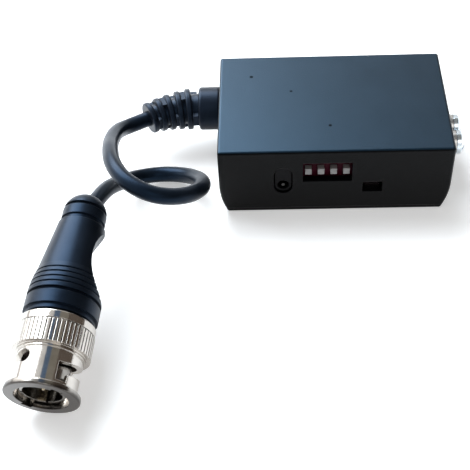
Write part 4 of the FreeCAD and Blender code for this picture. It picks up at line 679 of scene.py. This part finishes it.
class Finish(Enum):
    """Every finish of the balun."""

    # The bluish specular tints of the case, boot, relief and lead jacket are painted reflection:
    # they give the sheen the colour of a cool light.
    CASE = Plastic("case_black", *CASE_BLACK, (0.34, 0.40), grain=0.30 * MM,
                   grain_depth=0.028 * MM, edge=0.25 * MM, tint=(0.24, 0.60, 1.0),
                   shaded_wall_tint=SHADED_WALL_TINT, top=CASE_TOP,
                   specks=(Speck((-18.75 * MM, 8.4 * MM, CASE_TOP), 0.44 * MM),
                           Speck((-10.45 * MM, 3.4 * MM, CASE_TOP), 0.36 * MM),
                           Speck((-2.85 * MM, -7.6 * MM, CASE_TOP), 0.40 * MM)))
    BASE = Plastic("base_black", *CASE_BLACK, (0.42, 0.52), grain=0.30 * MM,
                   grain_depth=0.008 * MM, tint=SHADED_WALL_TINT)
    RUBBER = Plastic("boot_rubber", (0.0030, 0.0038, 0.0055), (0.0048, 0.0060, 0.0085),
                     (0.32, 0.42), grain=0.45 * MM, grain_depth=0.012 * MM,
                     waviness=0.010 * MM, edge=0.18 * MM, tint=(0.23, 0.50, 0.96), ior=1.35)
    RELIEF = Plastic("relief_rubber", (0.0045, 0.0055, 0.0080), (0.0065, 0.0080, 0.0115),
                     (0.36, 0.46), grain=0.4 * MM, grain_depth=0.01 * MM, edge=0.2 * MM,
                     tint=(0.15, 0.27, 0.48))
    JACKET = Plastic("lead_jacket_vinyl", (0.0036, 0.0056, 0.0092), (0.0054, 0.0082, 0.0130),
                     (0.30, 0.40), grain=0.5 * MM, grain_depth=0.010 * MM, waviness=0.014 * MM,
                     tint=(0.26, 0.54, 1.0), ior=1.3)
    LEVER = Plastic("lever_white", (0.34, 0.33, 0.325), (0.28, 0.27, 0.265), (0.3, 0.42),
                    grain=0.2 * MM, grain_depth=0.004 * MM, tint=(0.6, 0.6, 0.6))
    SWITCH_RED = Plastic("switch_red", (0.034, 0.0014, 0.0062), (0.022, 0.0010, 0.0042),
                         (0.42, 0.54), grain=0.2 * MM, tint=(0.16, 0.03, 0.07))
    SWITCH_BLACK = Plastic("switch_base_black", (0.022, 0.018, 0.021), (0.028, 0.023, 0.026),
                           (0.5, 0.62), grain=0.2 * MM, tint=(0.3, 0.3, 0.3))
    SOCKET = Plastic("socket_black", (0.0022, 0.0022, 0.0026), (0.0034, 0.0034, 0.0038),
                     (0.45, 0.6), grain=0.2 * MM, tint=(0.06, 0.06, 0.07))
    INSERT = Plastic("insert_black", (0.010, 0.011, 0.012), (0.016, 0.017, 0.019),
                     (0.45, 0.58), grain=0.25 * MM, grain_depth=0.01 * MM, tint=(0.4, 0.4, 0.45))
    INSULATOR = Plastic("insulator_white", (0.70, 0.69, 0.65), (0.62, 0.61, 0.57), (0.45, 0.6),
                        grain=0.3 * MM)
    GASKET = Plastic("gasket_silicone", (0.060, 0.030, 0.020), (0.045, 0.022, 0.015), (0.5, 0.6),
                     grain=0.15 * MM)
    EPOXY = Plastic("chip_epoxy", (0.016, 0.016, 0.017), (0.024, 0.024, 0.025), (0.5, 0.65),
                    grain=0.12 * MM, grain_depth=0.012 * MM)
    CERAMIC = Plastic("ceramic_brown", (0.30, 0.20, 0.12), (0.24, 0.155, 0.09), (0.4, 0.55),
                      grain=0.1 * MM)
    FERRITE = Plastic("ferrite_grey", (0.050, 0.048, 0.050), (0.035, 0.034, 0.036), (0.55, 0.7),
                      grain=0.15 * MM, grain_depth=0.02 * MM)
    HEADER = Plastic("header_black", (0.020, 0.020, 0.021), (0.028, 0.028, 0.029), (0.5, 0.62),
                     grain=0.2 * MM)
    CORE = Plastic("core_insulation", (0.66, 0.65, 0.60), (0.58, 0.57, 0.52), (0.35, 0.5),
                   grain=0.3 * MM)
    RESIN = Clear()
    BOARD = SolderMask()
    SLEEVE = SleevePlating("sleeve_nickel", (0.55, 0.52, 0.485), (0.47, 0.44, 0.405), (0.08, 0.17),
                           marks=0.8, edge=0.20 * MM)
    NICKEL = Metal("nickel_plate", (0.54, 0.52, 0.49), (0.45, 0.43, 0.40), (0.10, 0.20), marks=0.8)
    PLUG_BODY = Metal("plug_body_nickel", (0.30, 0.285, 0.265), (0.24, 0.225, 0.205), (0.14, 0.26))
    GOLD = Metal("contact_gold", (0.62, 0.52, 0.36), (0.52, 0.43, 0.29), (0.14, 0.26))
    PIN = Metal("socket_pin_dull", (0.060, 0.059, 0.058), (0.045, 0.044, 0.043), (0.28, 0.4))
    ZINC = Metal("terminal_zinc", *ZINC_GREY, (0.16, 0.28), marks=1.2)
    SCREW = ThreadedZinc("terminal_screw_zinc", *ZINC_GREY, (0.16, 0.28), marks=1.2)
    STEEL = Metal("screw_steel", (0.56, 0.55, 0.53), (0.44, 0.43, 0.41), (0.24, 0.4), marks=1.5)
    TIN = Metal("tinned_lead", (0.66, 0.66, 0.64), (0.54, 0.54, 0.52), (0.28, 0.45), marks=1.5)
    COPPER = Metal("enamelled_copper", (0.62, 0.23, 0.10), (0.48, 0.16, 0.07), (0.2, 0.32))
    BRAID = Braid("tinned_braid", (0.62, 0.60, 0.56), (0.34, 0.32, 0.29), (0.3, 0.45))
    CAN = Can()


class Slot(Enum):
    """The record's material slot names; no piece here is given one."""

    COPPER = "copper"
    STEEL = "tinned_steel"


class Workbench:
    """Holds the balun's CAD pieces and makes each finish once."""

    def __init__(self, nodes: dict[str, bpy.types.Object]) -> None:
        """Start with the CAD pieces and no finish made.

        Args:
            nodes: The CAD pieces by name.
        """
        self.nodes = nodes
        self.made: dict[Finish, bpy.types.Material] = {}

    def material(self, finish: Finish) -> bpy.types.Material:
        """The material of a finish, made on first use.

        Args:
            finish: The finish.

        Returns:
            Its material.
        """
        if finish not in self.made:
            self.made[finish] = finish.value.build()
        return self.made[finish]

    def paint(self, piece: bpy.types.Object, finish: Finish) -> None:
        """Give a piece one finish all over.

        Args:
            piece: The piece.
            finish: Its finish.
        """
        piece.data.materials.clear()
        piece.data.materials.append(self.material(finish))

    def dress(self, finish: Finish, *names: str) -> None:
        """Give CAD pieces one finish.

        Args:
            finish: The finish.
            *names: The pieces' names.
        """
        for name in names:
            self.paint(self.nodes[name], finish)
            LOG.info("%s: %s", name, finish.name.lower())

    def mount(self, piece: bpy.types.Object, name: str, finish: Finish, body: str,
              stands_for: str) -> None:
        """Name and dress a new piece, and let it stand for a CAD piece.

        Args:
            piece: The new piece.
            name: Its name.
            finish: Its finish.
            body: The body that it rides on.
            stands_for: The CAD piece that it stands for.
        """
        piece.name = name
        self.paint(piece, finish)
        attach(piece, body)
        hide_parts(stands_for)
        LOG.info("%s: modelled, %s", name, finish.name.lower())


def alone(piece: bpy.types.Object) -> None:
    """Select one piece and nothing else.

    Args:
        piece: The piece.
    """
    bpy.ops.object.select_all(action="DESELECT")
    piece.select_set(True)
    bpy.context.view_layer.objects.active = piece


def in_edit(piece: bpy.types.Object, work: Callable[[], None]) -> None:
    """Run mesh operators on all of a piece in edit mode.

    Args:
        piece: The piece.
        work: What to do there.
    """
    alone(piece)
    bpy.ops.object.mode_set(mode="EDIT")
    bpy.ops.mesh.select_all(action="SELECT")
    work()
    bpy.ops.object.mode_set(mode="OBJECT")


def round_wire(name: str, kind: str, points: Sequence[Place], radius: float,
               facets: int) -> bpy.types.Object:
    """A round wire with closed ends, as a curve.

    Args:
        name: The wire's name.
        kind: The spline's type.
        points: The points that it runs through or near, in metres.
        radius: The wire's radius.
        facets: How finely it is rounded.

    Returns:
        The wire.
    """
    data = bpy.data.curves.new(name, "CURVE")
    data.dimensions = "3D"
    spline = data.splines.new(kind)
    spline.points.add(len(points) - 1)
    for point, place in zip(spline.points, points):
        point.co = (*place, 1.0)
    data.bevel_depth = radius
    data.bevel_resolution = facets
    data.use_fill_caps = True
    wire = bpy.data.objects.new(name, data)
    bpy.context.scene.collection.objects.link(wire)
    return wire


@dataclass
class Case:
    """The two shells of the case and what fastens them."""

    def build(self, bench: Workbench) -> None:
        """Dress the shells and their screws.

        Args:
            bench: The workbench.
        """
        bench.dress(Finish.CASE, "top_cover")
        bench.dress(Finish.BASE, "base_plate")
        bench.dress(Finish.STEEL, "case_screws")


@dataclass
class FrontPanel:
    """What shows in the case's front windows: power socket, switch bank and indicator."""

    levers: int = 4

    def build(self, bench: Workbench) -> None:
        """Dress the parts behind the three windows.

        Args:
            bench: The workbench.
        """
        bench.dress(Finish.SOCKET, "power_socket")
        bench.dress(Finish.PIN, "power_socket_pin")
        bench.dress(Finish.STEEL, "power_socket_spring")
        bench.dress(Finish.SWITCH_RED, "switch_cover")
        bench.dress(Finish.SWITCH_BLACK, "switch_base")
        bench.dress(Finish.TIN, "switch_pins")
        bench.dress(Finish.LEVER, *(f"switch_lever_{number + 1}" for number in range(self.levers)))
        bench.dress(Finish.RESIN, "indicator_led")


@dataclass
class LineTerminals:
    """The two screw terminals on the right end wall."""

    count: int = 2

    def build(self, bench: Workbench) -> None:
        """Dress insert, posts, washers and screws.

        Args:
            bench: The workbench.
        """
        bench.dress(Finish.INSERT, "terminal_insert")
        bench.dress(Finish.ZINC, "terminal_posts")
        for number in range(1, self.count + 1):
            bench.dress(Finish.STEEL, f"clamp_washer_{number}")
            bench.dress(Finish.SCREW, f"terminal_screw_{number}")


@dataclass
class CircuitBoard:
    """The board and its parts, with the balun's ring wound in one run of enamelled wire."""

    middle: tuple[float, float] = (-1.55 * MM, 1.0 * MM)
    inner: float = 1.95 * MM
    outer: float = 4.79 * MM
    low: float = 6.05 * MM
    high: float = 9.95 * MM
    corner: float = 0.45 * MM
    wire: float = 0.2 * MM
    turns: int = 24
    gap: float = math.radians(24)
    corner_points: int = 4
    facets: int = 2

    def build(self, bench: Workbench) -> None:
        """Dress the board's parts and wind the coil.

        Args:
            bench: The workbench.
        """
        bench.dress(Finish.BOARD, "circuit_board")
        bench.dress(Finish.STEEL, "board_screws")
        bench.dress(Finish.HEADER, "balun_header")
        bench.dress(Finish.FERRITE, "balun_core")
        bench.dress(Finish.EPOXY, "amplifier_chip", "voltage_regulator", "surge_suppressors")
        bench.dress(Finish.TIN, "amplifier_leads")
        bench.dress(Finish.CAN, "capacitor_1", "capacitor_2")
        bench.dress(Finish.CERAMIC, "chip_parts")
        bench.mount(self.coil(), "wound_coil", Finish.COPPER, "balun",
                    "balun_windings")

    def section(self) -> list[Span]:
        """The way of one turn round the ring's section, as radius and height.

        Returns:
            The points, starting at the outer side's top.
        """
        inset = self.corner
        far, near = self.outer - inset, self.inner + inset
        top, foot = self.high - inset, self.low + inset
        corners = ((far, top, 0.0), (near, top, 90.0), (near, foot, 180.0), (far, foot, 270.0))
        points = []
        for radius, height, first in corners:
            for step in range(self.corner_points):
                angle = math.radians(first + 90.0 * step / (self.corner_points - 1))
                points.append((radius + inset * math.cos(angle),
                               height + inset * math.sin(angle)))
        return points

    def coil(self) -> bpy.types.Object:
        """One wire round and round the ring, its turns close together.

        Returns:
            The coil as a mesh.
        """
        way = self.section() * self.turns
        points = []
        for number, (radius, height) in enumerate(way):
            angle = self.gap / 2 + (math.tau - self.gap) * number / (len(way) - 1)
            points.append((self.middle[0] + radius * math.cos(angle),
                           self.middle[1] + radius * math.sin(angle), height))
        alone(round_wire("wound_coil", "POLY", points, self.wire, self.facets))
        bpy.ops.object.convert(target="MESH")
        bpy.ops.object.shade_smooth_by_angle(angle=SMOOTH_BELOW)
        return bpy.context.object


@dataclass
class Lead:
    """The video lead: out of its strain relief, once round a tight loop, into the plug's boot."""

    radius: float = 1.65 * MM
    length: float = 0.104
    facets: int = 7
    steps: int = 16
    route: tuple[Place, ...] = (
        (-0.04135, 0.00525, 0.00825),
        (-0.04499, 0.00315, 0.00825),
        (-0.0474, -0.0010, 0.0104),
        (-0.0477, -0.0072, 0.0132),
        (-0.0469, -0.0134, 0.0162),
        (-0.0456, -0.0196, 0.0183),
        (-0.0424, -0.0252, 0.0189),
        (-0.0372, -0.0278, 0.0177),
        (-0.0317, -0.0256, 0.0150),
        (-0.0287, -0.0198, 0.0112),
        (-0.0288, -0.0132, 0.0070),
        (-0.0320, -0.0076, 0.0033),
        (-0.0379, -0.0052, 0.0017),
        (-0.0436, -0.0074, 0.0029),
        (-0.0469, -0.0127, 0.0063),
        (-0.0484, -0.0189, 0.0105),
        (-0.04979, -0.02550, 0.01266),
    )

    def build(self, bench: Workbench, on_it: Sequence[str]) -> None:
        """Args:
            bench: The workbench.
            on_it: The names of the pieces on the lead; not used.
        """
        lead = round_wire("video_lead", "NURBS", self.route, self.radius, self.facets)
        lead.data.resolution_u = self.steps
        spline = lead.data.splines[0]
        spline.order_u = 3
        spline.use_endpoint_u = True
        spline.resolution_u = self.steps
        bench.paint(lead, Finish.JACKET)
        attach(lead, "balun")
        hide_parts("cable")
        bench.dress(Finish.RELIEF, "strain_relief")
        bench.dress(Finish.JACKET, "lead_jacket")
        bench.dress(Finish.CORE, "lead_core")
        bench.dress(Finish.BRAID, "lead_braid")
        LOG.info("video_lead: laid, %d points", len(self.route))


@dataclass
class Plug:
    """The bayonet plug on the lead's end, with its boot and the wavy spring inside."""

    spring_start: float = 10.35 * MM
    spring_room: float = 0.55 * MM
    spring_inner: float = 3.38 * MM
    spring_outer: float = 4.80 * MM
    spring_sheet: float = 0.16 * MM
    spring_waves: int = 3
    spring_facets: int = 96
    spring_rings: int = 4

    PIECES: ClassVar[tuple[str, ...]] = (
        "coupling_sleeve", "plug_body", "plug_insulator", "center_pin", "mouth_gasket",
        "thrust_washer", "retaining_ring", "plug_braid", "crimp_ferrule", "plug_lead_core",
        "plug_lead_jacket", "plug_boot", "wavy_spring")

    def build(self, bench: Workbench) -> None:
        """Dress the plug's parts and model the spring.

        Args:
            bench: The workbench.
        """
        bench.dress(Finish.SLEEVE, "coupling_sleeve")
        bench.dress(Finish.PLUG_BODY, "plug_body")
        bench.dress(Finish.INSULATOR, "plug_insulator")
        bench.dress(Finish.GOLD, "center_pin")
        bench.dress(Finish.GASKET, "mouth_gasket")
        bench.dress(Finish.STEEL, "retaining_ring")
        bench.dress(Finish.NICKEL, "thrust_washer", "crimp_ferrule")
        bench.dress(Finish.BRAID, "plug_braid")
        bench.dress(Finish.CORE, "plug_lead_core")
        bench.dress(Finish.JACKET, "plug_lead_jacket")
        bench.dress(Finish.RUBBER, "plug_boot")
        bench.mount(self.spring(), "wavy_spring", Finish.STEEL, "balun",
                    "wave_spring")

    def place(self) -> Matrix:
        """The plug's own frame in the balun's: mouth at the origin, tail along +Z.

        Returns:
            The matrix.
        """
        along = Vector(PLUG_AXIS).normalized()
        side = along.cross(Vector((0, 0, 1))).normalized()
        down = along.cross(side)
        return Matrix.Translation(PLUG_MOUTH) @ Matrix((side, down, along)).transposed().to_4x4()

    def spring(self) -> bpy.types.Object:
        """A thin ring bent into waves, as high as the room that it fills.

        Returns:
            The spring.
        """
        bpy.ops.object.select_all(action="DESELECT")
        bpy.ops.mesh.primitive_circle_add(vertices=self.spring_facets, radius=self.spring_inner)
        ring = bpy.context.object
        width = self.spring_outer - self.spring_inner
        radii = [self.spring_inner + width * step / self.spring_rings
                 for step in range(self.spring_rings + 1)]

        def widen() -> None:
            """Draw the circle out to a flat ring, one radius after the other."""
            for now, after in zip(radii, radii[1:]):
                bpy.ops.mesh.extrude_region_move()
                bpy.ops.transform.resize(value=(after / now, after / now, 1.0))

        in_edit(ring, widen)
        rise = (self.spring_room - self.spring_sheet) / 2
        middle = self.spring_start + self.spring_room / 2
        for vertex in ring.data.vertices:
            angle = math.atan2(vertex.co.y, vertex.co.x)
            vertex.co.z = middle + rise * math.cos(self.spring_waves * angle)
        sheet = ring.modifiers.new("sheet", "SOLIDIFY")
        sheet.thickness = self.spring_sheet
        sheet.offset = 0.0
        alone(ring)
        bpy.ops.object.modifier_apply(modifier="sheet")
        in_edit(ring, lambda: bpy.ops.mesh.normals_make_consistent(inside=False))
        ring.data.transform(self.place())
        bpy.ops.object.shade_smooth_by_angle(angle=SMOOTH_BELOW)
        return ring


@dataclass(frozen=True)
class Card:
    """A glowing card over or beside the balun that only metal and gloss see: a painted reflection.
    """

    name: str
    place: Place
    size: tuple[float, float]
    lean: float
    colour: Colour

    BLOTCH: ClassVar[float] = 0.08
    BLOTCH_SHADE: ClassVar[float] = 0.8
    BLIND_TO: ClassVar[tuple[str, ...]] = ("camera", "diffuse", "shadow", "transmission",
                                           "volume_scatter")

    def build(self) -> None:
        """Hang the card and hide it from every ray but glossy ones."""
        bpy.ops.object.select_all(action="DESELECT")
        bpy.ops.mesh.primitive_plane_add(size=1.0, location=self.place, rotation=(0, self.lean, 0))
        card = bpy.context.object
        card.name = self.name
        card.dimensions = (*self.size, 0)
        bpy.ops.object.transform_apply(location=False, rotation=False, scale=True)
        shader = Shader(f"{self.name}_painted_reflection")
        shade = tuple(self.BLOTCH_SHADE * part for part in self.colour)
        colour = shader.blend(shader.noise(self.BLOTCH), self.colour, shade)
        card.data.materials.append(shader.finish(
            Base_Color=BLACK, Roughness=1.0, Emission_Color=colour, Emission_Strength=1.0))
        for ray in self.BLIND_TO:
            setattr(card, f"visible_{ray}", False)


@dataclass(frozen=True)
class Lamp:
    """A soft square lamp that looks at the balun."""

    name: str
    place: Place
    size: float
    power: float
    colour: Colour = WHITE

    TARGET: ClassVar[Place] = (-0.015, -0.01, 0.01)

    def build(self) -> None:
        """Hang the lamp and aim it."""
        bpy.ops.object.light_add(type="AREA", location=self.place)
        lamp = bpy.context.object
        lamp.name = self.name
        lamp.data.size = self.size
        lamp.data.energy = self.power
        lamp.data.color = self.colour
        aim = Vector(self.TARGET) - Vector(self.place)
        lamp.rotation_euler = aim.to_track_quat("-Z", "Y").to_euler()


@dataclass
class Studio:
    """Pale floor, white surroundings, soft lamps and the camera of the photograph."""

    place: Place = (-0.01445, -0.1617, 0.1523)
    yaw: float = math.radians(-3.30)
    pitch: float = math.radians(47.41)
    roll: float = math.radians(-3.44)
    lens: float = 77.54
    sensor: float = 36.0
    near: float = 0.01
    floor_size: float = 6.0
    floor_cloud: float = 0.3
    floor_colours: tuple[Colour, Colour] = ((0.86, 0.86, 0.86), (0.88, 0.88, 0.88))
    floor_lift: float = 0.40
    far_floor: Span = (0.7, 1.2)
    horizon: float = 1.0
    ceiling: float = 0.85
    ceiling_span: Span = (0.05, 0.30)
    spread: float = 0.22
    lamps: tuple[Lamp, ...] = (
        Lamp("back_softbox", (-0.37, 0.48, 0.60), 0.72, 16.5, (0.87, 0.94, 1.0)),
        Lamp("left_softbox", (-0.55, 0.12, 0.34), 0.50, 1.6),
        Lamp("front_fill", (0.25, -0.70, 0.70), 0.50, 0.9, (1.0, 0.98, 0.95)),
    )
    cards: tuple[Card, ...] = (
        Card("streak_card", (0.010, -0.01, 0.50), (0.14, 0.58), 0.0, (0.11, 0.18, 0.30)),
        Card("side_card", (0.21, -0.01, 0.50), (0.26, 0.58), 0.0, (0.30, 0.28, 0.24)),
        Card("brown_board", (0.35, 0.05, 0.255), (0.49, 1.2), math.radians(88),
             (0.13, 0.098, 0.075)),
    )

    def build(self) -> None:
        """Set up everything that isn't part of the balun."""
        bpy.context.scene.view_settings.view_transform = "Standard"
        self.floor()
        self.surroundings()
        for piece in (*self.lamps, *self.cards):
            piece.build()
        self.camera()

    def seen(self, tree: bpy.types.NodeTree) -> Socket:
        """1 where a ray from the camera, a reflection or a clear piece arrives, otherwise 0.

        Args:
            tree: The node tree.

        Returns:
            The share.
        """
        path = tree.nodes.new("ShaderNodeLightPath")
        last = path.outputs["Is Camera Ray"]
        for name in ("Is Glossy Ray", "Is Transmission Ray"):
            either = tree.nodes.new("ShaderNodeMath")
            either.operation = "MAXIMUM"
            tree.links.new(last, either.inputs[0])
            tree.links.new(path.outputs[name], either.inputs[1])
            last = either.outputs[0]
        return last

    def floor(self) -> None:
        """A plain pale floor: white to the eye, with the balun's soft shadow.

        The lamps don't reach its far part, which is lifted to white by itself.
        """
        bpy.ops.mesh.primitive_plane_add(size=self.floor_size, location=(0, 0, 0))
        floor = bpy.context.object
        floor.name = "floor"
        shader = Shader("floor_white")
        colour = shader.blend(shader.noise(self.floor_cloud), *self.floor_colours)
        reach = shader.vector("LENGTH", shader.coordinates())
        glow = shader.ranged(reach, *self.far_floor, self.floor_lift, 1.0)
        floor.data.materials.append(shader.finish(
            Base_Color=colour, Roughness=0.7, Emission_Color=WHITE,
            Emission_Strength=shader.math("MULTIPLY", self.seen(shader.tree), glow)))

    def surroundings(self) -> None:
        """White at eye level, a slightly darker ceiling, and a gentle light on everything."""
        world = bpy.data.worlds.new("studio")
        bpy.context.scene.world = world
        world.use_nodes = True
        tree = world.node_tree
        place = tree.nodes.new("ShaderNodeTexCoord")
        split = tree.nodes.new("ShaderNodeSeparateXYZ")
        tree.links.new(place.outputs["Generated"], split.inputs[0])
        ceiling = tree.nodes.new("ShaderNodeMapRange")
        ceiling.interpolation_type = "SMOOTHSTEP"
        tree.links.new(split.outputs["Z"], ceiling.inputs["Value"])
        for name, number in (("From Min", self.ceiling_span[0]), ("From Max", self.ceiling_span[1]),
                             ("To Min", self.horizon), ("To Max", self.ceiling)):
            ceiling.inputs[name].default_value = number
        strength = tree.nodes.new("ShaderNodeMix")
        tree.links.new(self.seen(tree), strength.inputs[0])
        strength.inputs[2].default_value = self.spread
        tree.links.new(ceiling.outputs["Result"], strength.inputs[3])
        background = tree.nodes["Background"]
        background.inputs["Color"].default_value = (*WHITE, 1.0)
        tree.links.new(strength.outputs[0], background.inputs["Strength"])

    def camera(self) -> None:
        """The camera at the photograph's angle and distance."""
        forwards = Vector((math.sin(self.yaw) * math.cos(self.pitch),
                           math.cos(self.yaw) * math.cos(self.pitch), -math.sin(self.pitch)))
        level = Vector((math.cos(self.yaw), -math.sin(self.yaw), 0))
        upright = level.cross(forwards)
        right = level * math.cos(self.roll) + upright * math.sin(self.roll)
        up = upright * math.cos(self.roll) - level * math.sin(self.roll)
        turn = Matrix((right, up, -forwards)).transposed()
        data = bpy.data.cameras.new("camera")
        data.lens = self.lens
        data.sensor_width = self.sensor
        data.clip_start = self.near
        camera = bpy.data.objects.new("camera", data)
        camera.matrix_world = Matrix.Translation(self.place) @ turn.to_4x4()
        bpy.context.scene.collection.objects.link(camera)
        bpy.context.scene.camera = camera


def main() -> None:
    """Load the frame, build and dress every sub-assembly, and set up the studio."""
    logging.basicConfig(level=logging.INFO, format="%(name)s: %(message)s")
    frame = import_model()
    bpy.ops.object.select_all(action="DESELECT")
    bench = Workbench(frame["nodes"])
    for assembly in (Case(), FrontPanel(), LineTerminals(), CircuitBoard(), Plug()):
        assembly.build(bench)
    Lead().build(bench, Plug.PIECES)
    Studio().build()


if __name__ == "__main__":
    main()
